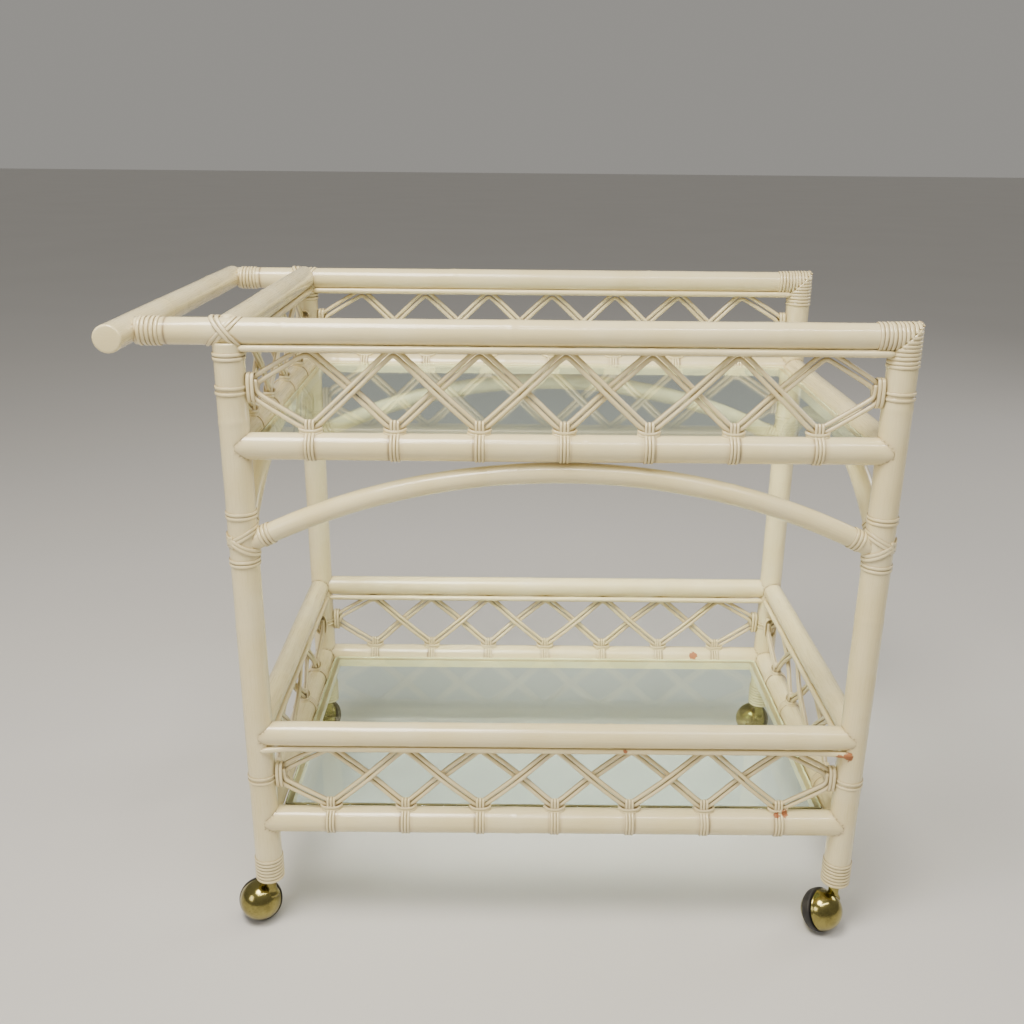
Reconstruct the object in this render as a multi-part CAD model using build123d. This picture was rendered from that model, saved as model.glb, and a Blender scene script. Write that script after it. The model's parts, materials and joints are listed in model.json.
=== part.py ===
"""Rattan bar cart: two glass trays in a frame of round poles, on four swivelling ball casters.

Millimetres, +Z up, +X along the cart away from the push handle, -Y the long side that shows.
The frame is laid out about the centre of its four legs, and everything is moved at the end so
that the origin is on the floor under the middle of the whole cart.
"""
import os
from math import atan2, cos, degrees, pi, radians, sin, sqrt, tan

from build123d import *

os.makedirs("parts", exist_ok=True)

# ---- overall layout ---------------------------------------------------------------------------
leg_spacing_x = 730.0        # between leg axes, along the cart
leg_spacing_y = 453.0        # between leg axes, across the cart
caster_headroom = 12.0       # leg underside above the top of a caster ball
top_rail_z = 772.5           # axis of the two long top rails
tray_rail_z = 645.5          # axis of the rails that frame the upper tray
lower_top_z = 280.0          # axis of the rails along the top of the lower gallery
lower_base_z = 156.5         # axis of the rails that frame the lower tray
handle_overhang = 110.0      # handle axis beyond the left leg axes
handle_front_overhang = 54.5   # handle end beyond the front rail axis
arch_end_z = 526.0           # arch centre line where it would meet a leg axis

# ---- pole diameters ---------------------------------------------------------------------------
leg_dia = 34.0
top_rail_dia = 30.0
tray_rail_dia = 31.0
lower_top_dia = 30.0
lower_base_dia = 33.0
handle_dia = 31.0
cross_bar_dia = 32.0
cross_bar_rise = 1.5         # cross bar axis above the top rail axes
arch_dia = 24.0
trim_rod_dia = 8.0
cane_dia = 5.0
handle_end_round = 2.5

# ---- galleries: two crossing zigzags of paired canes ------------------------------------------
long_side_bends = 7          # bends bound to the rail along a long side
short_side_bends = 4
end_bend_inset = 67.0        # first bend from the leg surface
tie_half_height = 9.0        # the two zigzags meet a leg this far above and below mid height
seat_gap = 0.2               # between round faces that lie against each other
pair_gap = 0.2               # between the two canes of a pair
layer_gap = 0.2              # between the two crossing zigzags
trim_rod_outset = 9.4        # trim rod axes outside and inside the gallery plane

# ---- bindings of flat peel --------------------------------------------------------------------
band_width = 4.4
band_gap = 0.4
band_thickness = 1.2
band_slack = 0.05            # round a bent pole
foot_bands = 7
handle_bands = 5
corner_wrap_length = 32.0    # wrapped length of rail and of leg at a mitred top corner
arch_binding_reach = 24.0    # from the arch foot to the ring bands above and below it
left_ring_drop = 8.6         # ring bands on the left legs, below the top rail's underside
collar_height = 3.6          # collar of peel that gathers a cane bend

# ---- glass shelves and the battens that carry them ---------------------------------------------
glass_thickness = 6.0
glass_gap = 2.6              # glass edge to rail surface
glass_corner_radius = 8.0
glass_edge_chamfer = 0.8
batten_reach = 12.0          # how far a batten stands in under the glass
batten_height = 12.0

# ---- joint screws ------------------------------------------------------------------------------
screw_dia = 4.0
screw_head_dia = 8.0
screw_head_height = 3.0
screw_cover = 5.0            # wood over a screw head
screw_length = 52.0
arch_screw_length = 38.0
screw_stagger = 5.0          # screws that cross inside a leg pass this far above and below

# ---- ball casters ------------------------------------------------------------------------------
ball_radius = 28.0           # tyre tread
hood_inset = 1.8             # brass hood below the tread
dome_inset = 1.4             # brass wheel dome below the tread
shell_wall = 1.8
caster_trail = 16.0          # ball centre behind the swivel axis
caster_side = 5.0            # ball centre beside the swivel axis
axle_tilt = 25.0             # degrees, the hood end up
hood_face = 1.5              # hood rim from the ball centre, along the axle
tyre_face = -1.0             # tyre edge next to the hood
tyre_shoulder = 2.2          # tread beyond the line that meets the floor
tyre_depth = 9.0
rim_wall = 3.0
web_thickness = 3.0
web_face = -5.0              # wheel web from the ball centre, along the axle
dome_seat_thickness = 1.2
wheel_hub_radius = 7.0
wheel_hub_end = 2.0
wheel_end_play = 0.2
hood_hub_radius = 6.0
hood_hub_gap = 0.6           # between the hubs of wheel and hood
axle_dia = 5.0
axle_bite = 5.2              # hood shell surface beyond the axle's fixed end
axle_head_dia = 9.0
axle_head_height = 1.8
axle_head_reach = 1.0        # axle head beyond the tyre
running_clearance = 0.05     # radial, stem in socket and axle in wheel
stem_dia = 8.0
stem_length_in_leg = 34.0
stem_seat = 2.0              # metal of the boss under the stem
boss_dia = 13.0
boss_foot = 16.0             # underside of the boss above the ball centre
boss_gap = 1.0               # between the boss and the socket flange
socket_dia = 12.0
socket_depth = 37.0
socket_floor = 1.5           # closed end of the socket
socket_flange_dia = 22.0
socket_flange = 1.5
caster_yaw = {"front_left": 5.0, "front_right": 45.0, "back_left": -40.0, "back_right": -50.0}

# ---- values worked out from the ones above -----------------------------------------------------
leg_bottom_z = 2 * ball_radius + caster_headroom
hood_radius = ball_radius - hood_inset
dome_radius = ball_radius - dome_inset
rim_radius = ball_radius - tyre_depth
tyre_outer_face = -ball_radius * sin(radians(axle_tilt)) - tyre_shoulder
half_x = leg_spacing_x / 2
half_y = leg_spacing_y / 2
leg_r = leg_dia / 2
top_r = top_rail_dia / 2
tray_r = tray_rail_dia / 2
lower_top_r = lower_top_dia / 2
lower_base_r = lower_base_dia / 2
handle_r = handle_dia / 2
bar_r = cross_bar_dia / 2
arch_r = arch_dia / 2
rod_r = trim_rod_dia / 2
cane_r = cane_dia / 2
handle_x = -half_x - handle_overhang
bar_z = top_rail_z + cross_bar_rise
layer_y = cane_r + layer_gap / 2
band_step = band_width + band_gap
leg_places = {"front_left": (-half_x, -half_y), "front_right": (half_x, -half_y),
              "back_left": (-half_x, half_y), "back_right": (half_x, half_y)}
long_sides = {"front": -1, "back": 1}
short_sides = {"left": -1, "right": 1}
screws = []


# ---- helpers -----------------------------------------------------------------------------------
def pole(start, end, radius):
    """A straight round pole between two points."""
    axis = Vector(end) - Vector(start)
    place = Plane(origin=start, z_dir=axis.normalized())
    return place * Cylinder(radius, axis.length, align=(Align.CENTER, Align.CENTER, Align.MIN))


def long_pole(side, z, radius, x0=-half_x, x1=half_x):
    """A pole along X over the front or back legs."""
    return pole((x0, side * half_y, z), (x1, side * half_y, z), radius)


def short_pole(side, z, radius):
    """A pole along Y over the left or right legs."""
    return pole((side * half_x, -half_y, z), (side * half_x, half_y, z), radius)


def leg_cores(radius=leg_r):
    """The four leg cylinders at full height, for coping rails onto them."""
    return [pole((x, y, 0), (x, y, top_rail_z), radius) for x, y in leg_places.values()]


def band(center, direction, radius, width=band_width):
    """A flat ring of peel round a pole of the given radius."""
    place = Plane(origin=center, z_dir=direction)
    return place * (Cylinder(radius + band_thickness, width) - Cylinder(radius, width))


def add_screw(start, direction, length=screw_length):
    """A wood screw whose head starts at a point; it is kept for cutting its own hole."""
    axis = Vector(direction).normalized()
    head_end = Vector(start) + axis * screw_head_height
    tip = Vector(start) + axis * length
    head = pole(start, head_end, screw_head_dia / 2)
    shank = pole(head_end, tip, screw_dia / 2)
    screws.append(head + shank)


def boxes_meet(a, b):
    """True where the bounding boxes of two shapes overlap."""
    p, q = a.bounding_box(), b.bounding_box()
    return (p.min.X < q.max.X and q.min.X < p.max.X and p.min.Y < q.max.Y
            and q.min.Y < p.max.Y and p.min.Z < q.max.Z and q.min.Z < p.max.Z)


def cut_clear(shape, others):
    """The shape less whichever of the others reach it."""
    cutters = [other for other in others if boxes_meet(shape, other)]
    return shape - cutters if cutters else shape


def drilled(shape):
    """The shape with a hole for each screw that passes through it."""
    return cut_clear(shape, screws)


def arch_radius(half_span, rise):
    """Radius of the circle through a crown and two ends at a half span and rise."""
    return (half_span ** 2 + rise ** 2) / (2 * rise)


# ---- screws at every pole joint ------------------------------------------------------------------
arch_crown_z = tray_rail_z - tray_r - band_thickness - seat_gap - arch_r
arch_rise = arch_crown_z - arch_end_z
long_arch_radius = arch_radius(half_x, arch_rise)
short_arch_radius = arch_radius(half_y, arch_rise)
leg_screw_start = leg_r - screw_cover


def arch_height(radius, distance):
    """Arch centre line height at a distance from mid span."""
    return arch_crown_z - radius + sqrt(radius ** 2 - distance ** 2)


for rail_z in (tray_rail_z, lower_top_z, lower_base_z):
    for x, y in leg_places.values():
        inward_x, inward_y = (-1 if x > 0 else 1), (-1 if y > 0 else 1)
        add_screw((x - inward_x * leg_screw_start, y, rail_z + screw_stagger), (inward_x, 0, 0))
        add_screw((x, y - inward_y * leg_screw_start, rail_z - screw_stagger), (0, inward_y, 0))

arch_foot_z = arch_height(long_arch_radius, half_x - leg_r)
long_arch_screw_z = arch_foot_z
short_arch_screw_z = arch_foot_z + 2 * screw_stagger
for x, y in leg_places.values():
    inward_x, inward_y = (-1 if x > 0 else 1), (-1 if y > 0 else 1)
    add_screw((x - inward_x * leg_screw_start, y, long_arch_screw_z), (inward_x, 0, 0),
              arch_screw_length)
    add_screw((x, y - inward_y * leg_screw_start, short_arch_screw_z), (0, inward_y, 0),
              arch_screw_length)

for side in long_sides.values():
    rail_y = side * half_y
    add_screw((-half_x - screw_stagger, rail_y, top_rail_z + top_r - screw_cover), (0, 0, -1))
    add_screw((-half_x + screw_stagger, rail_y + side * (top_r - screw_cover), bar_z), (0, -side, 0))
    add_screw((handle_x - handle_r + screw_cover, rail_y, top_rail_z), (1, 0, 0))
    add_screw((half_x + leg_screw_start, rail_y, top_rail_z - screw_stagger), (-1, 0, 0))


# ---- top rails, handle and cross bar -------------------------------------------------------------
def mitre_cutter(keep_leg):
    """A block on one side of the 45 degree plane through a right-hand top corner."""
    size = 4 * leg_dia
    block = Box(size, 2 * leg_spacing_y, size, align=(Align.CENTER, Align.CENTER, Align.MIN))
    turn = -45 if keep_leg else 135
    return Pos(half_x, 0, top_rail_z) * Rot(0, turn, 0) * block


def top_rails():
    """Long top rails: butted on the handle bar, mitred to the right-hand legs."""
    handle_core = pole((handle_x, -leg_spacing_y, top_rail_z),
                       (handle_x, leg_spacing_y, top_rail_z), handle_r)
    return {side: drilled(long_pole(side, top_rail_z, top_r, handle_x, half_x + leg_dia)
                          - handle_core - mitre_cutter(False))
            for side in long_sides.values()}


def handle_bar():
    """Round push bar across the left end; its front end runs on past the front rail."""
    bar = pole((handle_x, -half_y - handle_front_overhang, top_rail_z),
               (handle_x, half_y + top_r, top_rail_z), handle_r)
    bar = fillet(bar.edges().filter_by(GeomType.CIRCLE), handle_end_round)
    return drilled(bar)


def cross_bar(rails):
    """Bar over the left-hand legs, coped onto both top rails."""
    bar = pole((-half_x, -half_y, bar_z), (-half_x, half_y, bar_z), bar_r)
    return drilled(bar - list(rails.values()))


def leg(name, rails, bar):
    """One leg: saddled to the rail and cross bar at the left, mitred to the rail at the right."""
    x, y = leg_places[name]
    side = -1 if y < 0 else 1
    if x < 0:
        post = pole((x, y, leg_bottom_z), (x, y, top_rail_z - cross_bar_rise), leg_r)
        rail_core = long_pole(side, top_rail_z, top_r, handle_x, half_x)
        bar_core = short_pole(-1, bar_z, bar_r)
        post = (post - rail_core - bar_core).solids().sort_by(SortBy.VOLUME)[-1]
    else:
        post = pole((x, y, leg_bottom_z), (x, y, top_rail_z + leg_dia), leg_r)
        post = post - mitre_cutter(True)
    bore = pole((x, y, leg_bottom_z), (x, y, leg_bottom_z + socket_depth), socket_dia / 2)
    return drilled(post - bore)


# ---- rails between the legs ----------------------------------------------------------------------
def rail_ring(prefix, z, radius):
    """Four rails at one height: long ones coped onto the legs, short ones fitted between them."""
    cores = leg_cores()
    ring = {}
    long_cores = []
    for name, side in long_sides.items():
        core = long_pole(side, z, radius)
        long_cores.append(core)
        ring[f"{prefix}_{name}"] = drilled(core - cores)
    for name, side in short_sides.items():
        ring[f"{prefix}_{name}"] = drilled(short_pole(side, z, radius) - cores - long_cores)
    return ring


def arch(half_span, radius, plane):
    """A bent pole from leg to leg, its crown against the tray rail."""
    start_angle = degrees(atan2(arch_end_z - arch_crown_z + radius, half_span))
    path = CenterArc((0, arch_crown_z - radius), radius, start_angle, 180 - 2 * start_angle)
    path = plane * path
    return sweep(Plane(origin=path @ 0, z_dir=path % 0) * Circle(arch_r), path=path)


def arches():
    """Four arches under the upper tray."""
    made = {}
    for name, side in long_sides.items():
        plane = Plane(origin=(0, side * half_y, 0), x_dir=(1, 0, 0), z_dir=(0, -1, 0))
        made[f"arch_{name}"] = arch(half_x, long_arch_radius, plane)
    for name, side in short_sides.items():
        plane = Plane(origin=(side * half_x, 0, 0), x_dir=(0, 1, 0), z_dir=(1, 0, 0))
        made[f"arch_{name}"] = arch(half_y, short_arch_radius, plane)
    return {name: drilled(shape - leg_cores()) for name, shape in made.items()}


# ---- trim rods -------------------------------------------------------------------------------------
def trim_rods(direction, side, rail_z, rail_r):
    """Two thin rods along the underside of a rail, one outside the canes and one inside.

    They end at the leg bindings."""
    drop = sqrt((rail_r + rod_r + seat_gap) ** 2 - trim_rod_outset ** 2)
    z = rail_z - drop
    made = []
    for outset in (trim_rod_outset, -trim_rod_outset):
        if direction == "long":
            y = side * (half_y + outset)
            rod = pole((-half_x, y, z), (half_x, y, z), rod_r)
        else:
            x = side * (half_x + outset)
            rod = pole((x, -half_y, z), (x, half_y, z), rod_r)
        made.append(rod - leg_cores(leg_r + band_thickness))
    return made


# ---- galleries ---------------------------------------------------------------------------------------
class Gallery:
    """One lattice panel between a base rail and the rail above it.

    It is drawn along its own s axis (x on a long side, y on a short one) and z, with the
    canes of one zigzag just outside the panel's plane and those of the other just inside."""

    def __init__(self, direction, side, base_z, base_r, cap_z, cap_r):
        self.direction = direction
        self.side = side
        self.base_z = base_z
        self.base_r = base_r
        half_span = (half_x if direction == "long" else half_y) - leg_r
        count = long_side_bends if direction == "long" else short_side_bends
        pitch = 2 * (half_span - end_bend_inset) / (count - 1)
        self.bends = [-(half_span - end_bend_inset) + i * pitch for i in range(count)]
        self.end = half_span - band_thickness - cane_r
        floor, ceiling = base_z + base_r + seat_gap, cap_z - cap_r - seat_gap
        steepest = atan2(ceiling - floor, pitch)
        bend_tip = cane_r / cos(steepest)
        self.pair_rise = (cane_dia + pair_gap) / cos(steepest)
        self.low = floor + bend_tip
        self.high = ceiling - bend_tip - self.pair_rise
        self.middle = (self.low + self.high) / 2

    def place(self, s, offset, z):
        """A point at s along the panel, offset outwards from its plane."""
        if self.direction == "long":
            return (s, self.side * (half_y + offset), z)
        return (self.side * (half_x + offset), s, z)

    def zigzag(self, starts_low):
        """The corner points of one zigzag, from one leg to the other."""
        tie = -tie_half_height if starts_low else tie_half_height
        points = [(-self.end, self.middle + tie)]
        low = starts_low
        for s in self.bends:
            points.append((s, self.low if low else self.high))
            low = not low
        last_tie = tie_half_height if low else -tie_half_height
        points.append((self.end, self.middle + last_tie))
        return points

    def canes(self):
        """Four canes: a pair along each zigzag."""
        made = []
        for starts_low, offset in ((True, layer_y), (False, -layer_y)):
            for rise in (0, self.pair_rise):
                path = Polyline(*[self.place(s, offset, z + rise)
                                  for s, z in self.zigzag(starts_low)])
                start = Plane(origin=path @ 0, z_dir=path % 0)
                made.append(sweep(start * Circle(cane_r), path=path,
                                  transition=Transition.RIGHT))
        return made

    def bindings(self):
        """Two open bands round the base rail and a collar round the canes at each bound bend."""
        made = []
        along = (1, 0, 0) if self.direction == "long" else (0, 1, 0)
        mouth_size = (band_width * 3, 2 * (layer_y + cane_r + seat_gap), self.base_r * 2)
        collar_depth = cane_dia + 2 * seat_gap
        collar_z = self.low + collar_height
        for i, s in enumerate(self.bends):
            mouth = self.box(s, 0, self.base_z + self.base_r, *mouth_size)
            for step in (-0.5, 0.5):
                ring = band(self.place(s + step * band_step, 0, self.base_z), along, self.base_r)
                made.append(ring - mouth)
            starts_low = i % 2 == 0
            offset = layer_y if starts_low else -layer_y
            corners = self.zigzag(starts_low)
            before = self.arm_reach(corners[i + 1], corners[i])
            after = self.arm_reach(corners[i + 1], corners[i + 2])
            middle = s + (after - before) / 2
            length = before + after
            inner = self.box(middle, offset, collar_z, length, collar_depth, collar_height)
            outer = self.box(middle, offset, collar_z, length + 2 * band_thickness,
                             collar_depth + 2 * band_thickness, collar_height)
            made.append(outer - inner)
        return made

    def arm_reach(self, bend, far):
        """How far a cane's lower edge stands from its bend at the top of the collar."""
        slope = atan2(far[1] - bend[1], abs(far[0] - bend[0]))
        collar_top = 1.5 * collar_height
        return collar_top / tan(slope) + cane_r / sin(slope) + seat_gap

    def box(self, s, offset, z, length, depth, height):
        """A block centred at a point of the panel."""
        size = (length, depth, height) if self.direction == "long" else (depth, length, height)
        return Pos(*self.place(s, offset, z)) * Box(*size)


# ---- glass and battens ---------------------------------------------------------------------------
def glass(rail_z, rail_r):
    """A polished shelf that drops in between four rails, on battens at their mid height."""
    length = 2 * (half_x - rail_r - glass_gap)
    width = 2 * (half_y - rail_r - glass_gap)
    sheet = Box(length, width, glass_thickness, align=(Align.CENTER, Align.CENTER, Align.MIN))
    sheet = fillet(sheet.edges().filter_by(Axis.Z), glass_corner_radius)
    sheet = chamfer(sheet.faces().filter_by(Axis.Z).edges(), glass_edge_chamfer)
    return Pos(0, 0, rail_z) * sheet


def battens(rail_z, rail_r):
    """Four battens inside a ring of rails, fitted over the bindings, flush with mid height."""
    align = (Align.CENTER, Align.CENTER, Align.MAX)
    inner_x = half_x - rail_r - batten_reach
    inner_y = half_y - rail_r - batten_reach
    cut = leg_cores() + [long_pole(s, rail_z, rail_r + band_thickness) for s in (-1, 1)]
    cut += [short_pole(s, rail_z, rail_r + band_thickness) for s in (-1, 1)]
    made = []
    for side in (-1, 1):
        depth = half_y - inner_y
        strip = Box(leg_spacing_x, depth, batten_height, align=align)
        made.append(Pos(0, side * (inner_y + depth / 2), rail_z) * strip - cut)
        depth = half_x - inner_x
        strip = Box(depth, 2 * inner_y, batten_height, align=align)
        made.append(Pos(side * (inner_x + depth / 2), 0, rail_z) * strip - cut)
    return [piece.solids().sort_by(SortBy.VOLUME)[-1] for piece in made]


# ---- bindings at the pole joints -------------------------------------------------------------------
def corner_wrap(side):
    """Peel wound over the rail and the leg where they meet in a mitred top corner."""
    y = side * half_y
    length = corner_wrap_length + leg_dia
    middle = leg_dia - length / 2
    along_rail = band((half_x + middle, y, top_rail_z), (1, 0, 0), top_r, length)
    along_leg = band((half_x, y, top_rail_z + middle), (0, 0, 1), leg_r, length)
    return [along_rail - mitre_cutter(False), along_leg - mitre_cutter(True)]


def arch_bands(name, half_span, radius):
    """Two bands round each foot of an arch."""
    made = []
    end_angle = atan2(arch_end_z - arch_crown_z + radius, half_span)
    slope = pi / 2 - end_angle
    clear_of_leg = leg_r + 2 * band_thickness + (arch_r + band_thickness) * sin(slope)
    first = clear_of_leg / cos(slope) + band_width / 2
    for end in (-1, 1):
        for turn in range(2):
            angle = end_angle + (first + turn * band_step) / radius
            along = cos(angle) * radius * end
            z = arch_crown_z - radius + sin(angle) * radius
            tangent = (-sin(angle) * end, cos(angle))
            if name in long_sides:
                center = (along, long_sides[name] * half_y, z)
                direction = (tangent[0], 0, tangent[1])
            else:
                center = (short_sides[name] * half_x, along, z)
                direction = (0, tangent[0], tangent[1])
            made.append(band(center, direction, arch_r + band_slack))
    return made


def joint_bindings(bent_poles, rods):
    """Rings at the arch feet, tops of the left legs and handle; bands on arches; corner wraps."""
    made = []
    for x, y in leg_places.values():
        for way in (-1, 1):
            for turn in range(2):
                z = arch_foot_z + way * (arch_binding_reach + turn * band_step)
                ring = band((x, y, z), (0, 0, 1), leg_r)
                made.append(cut_clear(ring, bent_poles))
    for name in long_sides:
        made += arch_bands(name, half_x, long_arch_radius)
    for name in short_sides:
        made += arch_bands(name, half_y, short_arch_radius)
    for side in long_sides.values():
        y = side * half_y
        for turn in range(2):
            z = top_rail_z - top_r - left_ring_drop - turn * band_step
            made.append(band((-half_x, y, z), (0, 0, 1), leg_r))
        for turn in range(handle_bands):
            x = handle_x + handle_r + band_width / 2 + band_gap + turn * band_step
            made.append(band((x, y, top_rail_z), (1, 0, 0), top_r))
        made += [cut_clear(wrap, rods) for wrap in corner_wrap(side)]
    return made


def tie_bands(galleries):
    """Two rings round each leg where the gallery canes are tied to it."""
    heights = sorted({round(g.middle + g.pair_rise / 2, 3) for g in galleries.values()
                      if g.direction == "long"})
    return [band((x, y, z + step * band_step), (0, 0, 1), leg_r)
            for x, y in leg_places.values() for z in heights for step in (-0.5, 0.5)]


def foot_bindings():
    """A sleeve of bands round the foot of each leg."""
    return [band((x, y, leg_bottom_z + band_width / 2 + turn * band_step), (0, 0, 1), leg_r)
            for x, y in leg_places.values() for turn in range(foot_bands)]


# ---- casters ---------------------------------------------------------------------------------------
def slab(radius, low, high):
    """A disc of the caster's own axle frame, between two stations along the axle."""
    return Pos(0, 0, low) * Cylinder(radius, high - low, align=(Align.CENTER, Align.CENTER, Align.MIN))


def shell(radius, low, high):
    """The part of a hollow ball between two stations along the axle."""
    return (Sphere(radius) - Sphere(radius - shell_wall)) & slab(radius, low, high)


def caster(name):
    """One ball caster: hood and stem swivel together, dome wheel and tyre roll on the axle."""
    x, y = leg_places[name]
    swivel = Pos(x, y, 0) * Rot(0, 0, caster_yaw[name])
    axle_frame = swivel * Pos(-caster_trail, caster_side, ball_radius) * Rot(90 - axle_tilt, 0, 0)

    head_start = tyre_outer_face - axle_head_reach
    axle_end = hood_radius - axle_bite
    axle = slab(axle_dia / 2, head_start, axle_end)
    axle += slab(axle_head_dia / 2, head_start - axle_head_height, head_start)

    bore_radius = rim_radius - rim_wall
    dome_seat = tyre_outer_face - dome_seat_thickness
    dome_seat_radius = sqrt(dome_radius ** 2 - tyre_outer_face ** 2) - shell_wall / 2
    wheel = slab(rim_radius, tyre_outer_face, 2 * tyre_face)
    wheel += slab(dome_seat_radius, dome_seat, tyre_outer_face)
    wheel -= slab(bore_radius, dome_seat, 2 * tyre_face)
    wheel += slab(bore_radius + rim_wall / 3, web_face - web_thickness, web_face)
    wheel += shell(dome_radius, -dome_radius, tyre_outer_face)
    wheel += slab(wheel_hub_radius, head_start + wheel_end_play, wheel_hub_end)
    wheel -= slab(axle_dia / 2 + running_clearance, head_start, ball_radius)

    tyre = Sphere(ball_radius) & slab(ball_radius, tyre_outer_face, tyre_face)
    tyre -= slab(rim_radius, tyre_outer_face, tyre_face)

    boss_z = ball_radius + boss_foot
    boss = pole((0, 0, boss_z), (0, 0, leg_bottom_z - socket_flange - boss_gap), boss_dia / 2)
    stem = pole((0, 0, boss_z + stem_seat), (0, 0, leg_bottom_z + stem_length_in_leg), stem_dia / 2)
    hood = shell(hood_radius, hood_face, hood_radius)
    hood += slab(hood_hub_radius, wheel_hub_end + hood_hub_gap, hood_radius - shell_wall / 2)
    hood = axle_frame * (hood - slab(axle_dia / 2, -ball_radius, axle_end))
    hood = hood + swivel * boss - swivel * stem

    return {"hood": hood, "stem": swivel * stem, "axle": axle_frame * axle,
            "wheel": axle_frame * wheel, "tyre": axle_frame * tyre}


def caster_sockets():
    """Brass sleeves in the leg bores, each with a flange under the leg."""
    made = []
    for x, y in leg_places.values():
        sleeve = pole((x, y, leg_bottom_z), (x, y, leg_bottom_z + socket_depth), socket_dia / 2)
        flange = pole((x, y, leg_bottom_z - socket_flange), (x, y, leg_bottom_z),
                      socket_flange_dia / 2)
        bore = pole((x, y, leg_bottom_z - socket_flange),
                    (x, y, leg_bottom_z + socket_depth - socket_floor),
                    stem_dia / 2 + running_clearance)
        made.append(sleeve + flange - bore)
    return made


# ---- assembly --------------------------------------------------------------------------------------
def build():
    """Every node of the cart, about the centre of its legs."""
    nodes = {}
    rails = top_rails()
    nodes["top_rail_front"] = rails[-1]
    nodes["top_rail_back"] = rails[1]
    nodes["handle_bar"] = handle_bar()
    nodes["top_cross_bar"] = cross_bar(rails)
    for name in leg_places:
        nodes[f"leg_{name}"] = leg(name, rails, nodes["top_cross_bar"])
    nodes |= rail_ring("tray_rail", tray_rail_z, tray_r)
    nodes |= rail_ring("lower_top_rail", lower_top_z, lower_top_r)
    nodes |= rail_ring("lower_base_rail", lower_base_z, lower_base_r)
    bent_poles = arches()
    nodes |= bent_poles

    nodes["trim_rods"] = trim_rods("short", -1, bar_z, bar_r)
    for side in long_sides.values():
        nodes["trim_rods"] += trim_rods("long", side, top_rail_z, top_r)
        nodes["trim_rods"] += trim_rods("long", side, lower_top_z, lower_top_r)
    for side in short_sides.values():
        nodes["trim_rods"] += trim_rods("short", side, lower_top_z, lower_top_r)

    upper = (tray_rail_z, tray_r, top_rail_z, top_r)
    lower = (lower_base_z, lower_base_r, lower_top_z, lower_top_r)
    galleries = {
        "upper_gallery_front": Gallery("long", -1, *upper),
        "upper_gallery_back": Gallery("long", 1, *upper),
        "upper_gallery_left": Gallery("short", -1, tray_rail_z, tray_r, bar_z, bar_r),
        "lower_gallery_front": Gallery("long", -1, *lower),
        "lower_gallery_back": Gallery("long", 1, *lower),
        "lower_gallery_left": Gallery("short", -1, *lower),
        "lower_gallery_right": Gallery("short", 1, *lower)}
    nodes |= {name: gallery.canes() for name, gallery in galleries.items()}
    nodes["gallery_bindings"] = [b for g in galleries.values() for b in g.bindings()]
    nodes["gallery_bindings"] += tie_bands(galleries)
    nodes["joint_bindings"] = joint_bindings(list(bent_poles.values()), nodes["trim_rods"])
    nodes["foot_bindings"] = foot_bindings()

    nodes["glass_battens"] = battens(tray_rail_z, tray_r) + battens(lower_base_z, lower_base_r)
    nodes["top_glass"] = glass(tray_rail_z, tray_r)
    nodes["lower_glass"] = glass(lower_base_z, lower_base_r)
    nodes["joint_screws"] = list(screws)
    nodes["caster_sockets"] = caster_sockets()
    for name in leg_places:
        for piece, shape in caster(name).items():
            nodes[f"caster_{piece}_{name}"] = shape
    return nodes


def as_compound(shape):
    """One compound of all the solids of a node."""
    shapes = shape if isinstance(shape, list) else [shape]
    return Compound([solid for piece in shapes for solid in piece.solids()])


model = {name: as_compound(shape) for name, shape in build().items()}
boxes = [shape.bounding_box() for shape in model.values()]
low = [min(getattr(b.min, axis) for b in boxes) for axis in "XYZ"]
high = [max(getattr(b.max, axis) for b in boxes) for axis in "XYZ"]
shift = (-(low[0] + high[0]) / 2, -(low[1] + high[1]) / 2, -low[2])
for name, shape in model.items():
    export_step(Pos(*shift) * shape, f"parts/{name}.step")

print("nodes", len(model), "size", [round(b - a, 2) for a, b in zip(low, high)])
print("shift", [round(v, 4) for v in shift])
for name, (x, y) in leg_places.items():
    yaw = radians(caster_yaw[name])
    ball = (x - caster_trail * cos(yaw) - caster_side * sin(yaw) + shift[0],
            y - caster_trail * sin(yaw) + caster_side * cos(yaw) + shift[1], ball_radius + shift[2])
    axis = (sin(yaw) * cos(radians(axle_tilt)), -cos(yaw) * cos(radians(axle_tilt)),
            sin(radians(axle_tilt)))
    print(name, "swivel", [round((x + shift[0]) / 1000, 6), round((y + shift[1]) / 1000, 6)],
          "ball", [round(v / 1000, 6) for v in ball], "axle", [round(v, 6) for v in axis])
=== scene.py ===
# %% [markdown]
# # A painted rattan bar cart
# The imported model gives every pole, cane, band, shelf and caster its place. This script gives
# each of them the surface that the real one has. Rattan is a climbing palm: its stems are nearly
# round, with a faint ring every hand's breadth, and its skin, split off as flat peel, ties the
# joints. The whole cart is brushed with cream gloss paint, so the forms show through shadows and
# highlights more than through colour.

# %% Load the fixed frame
import json

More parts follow.
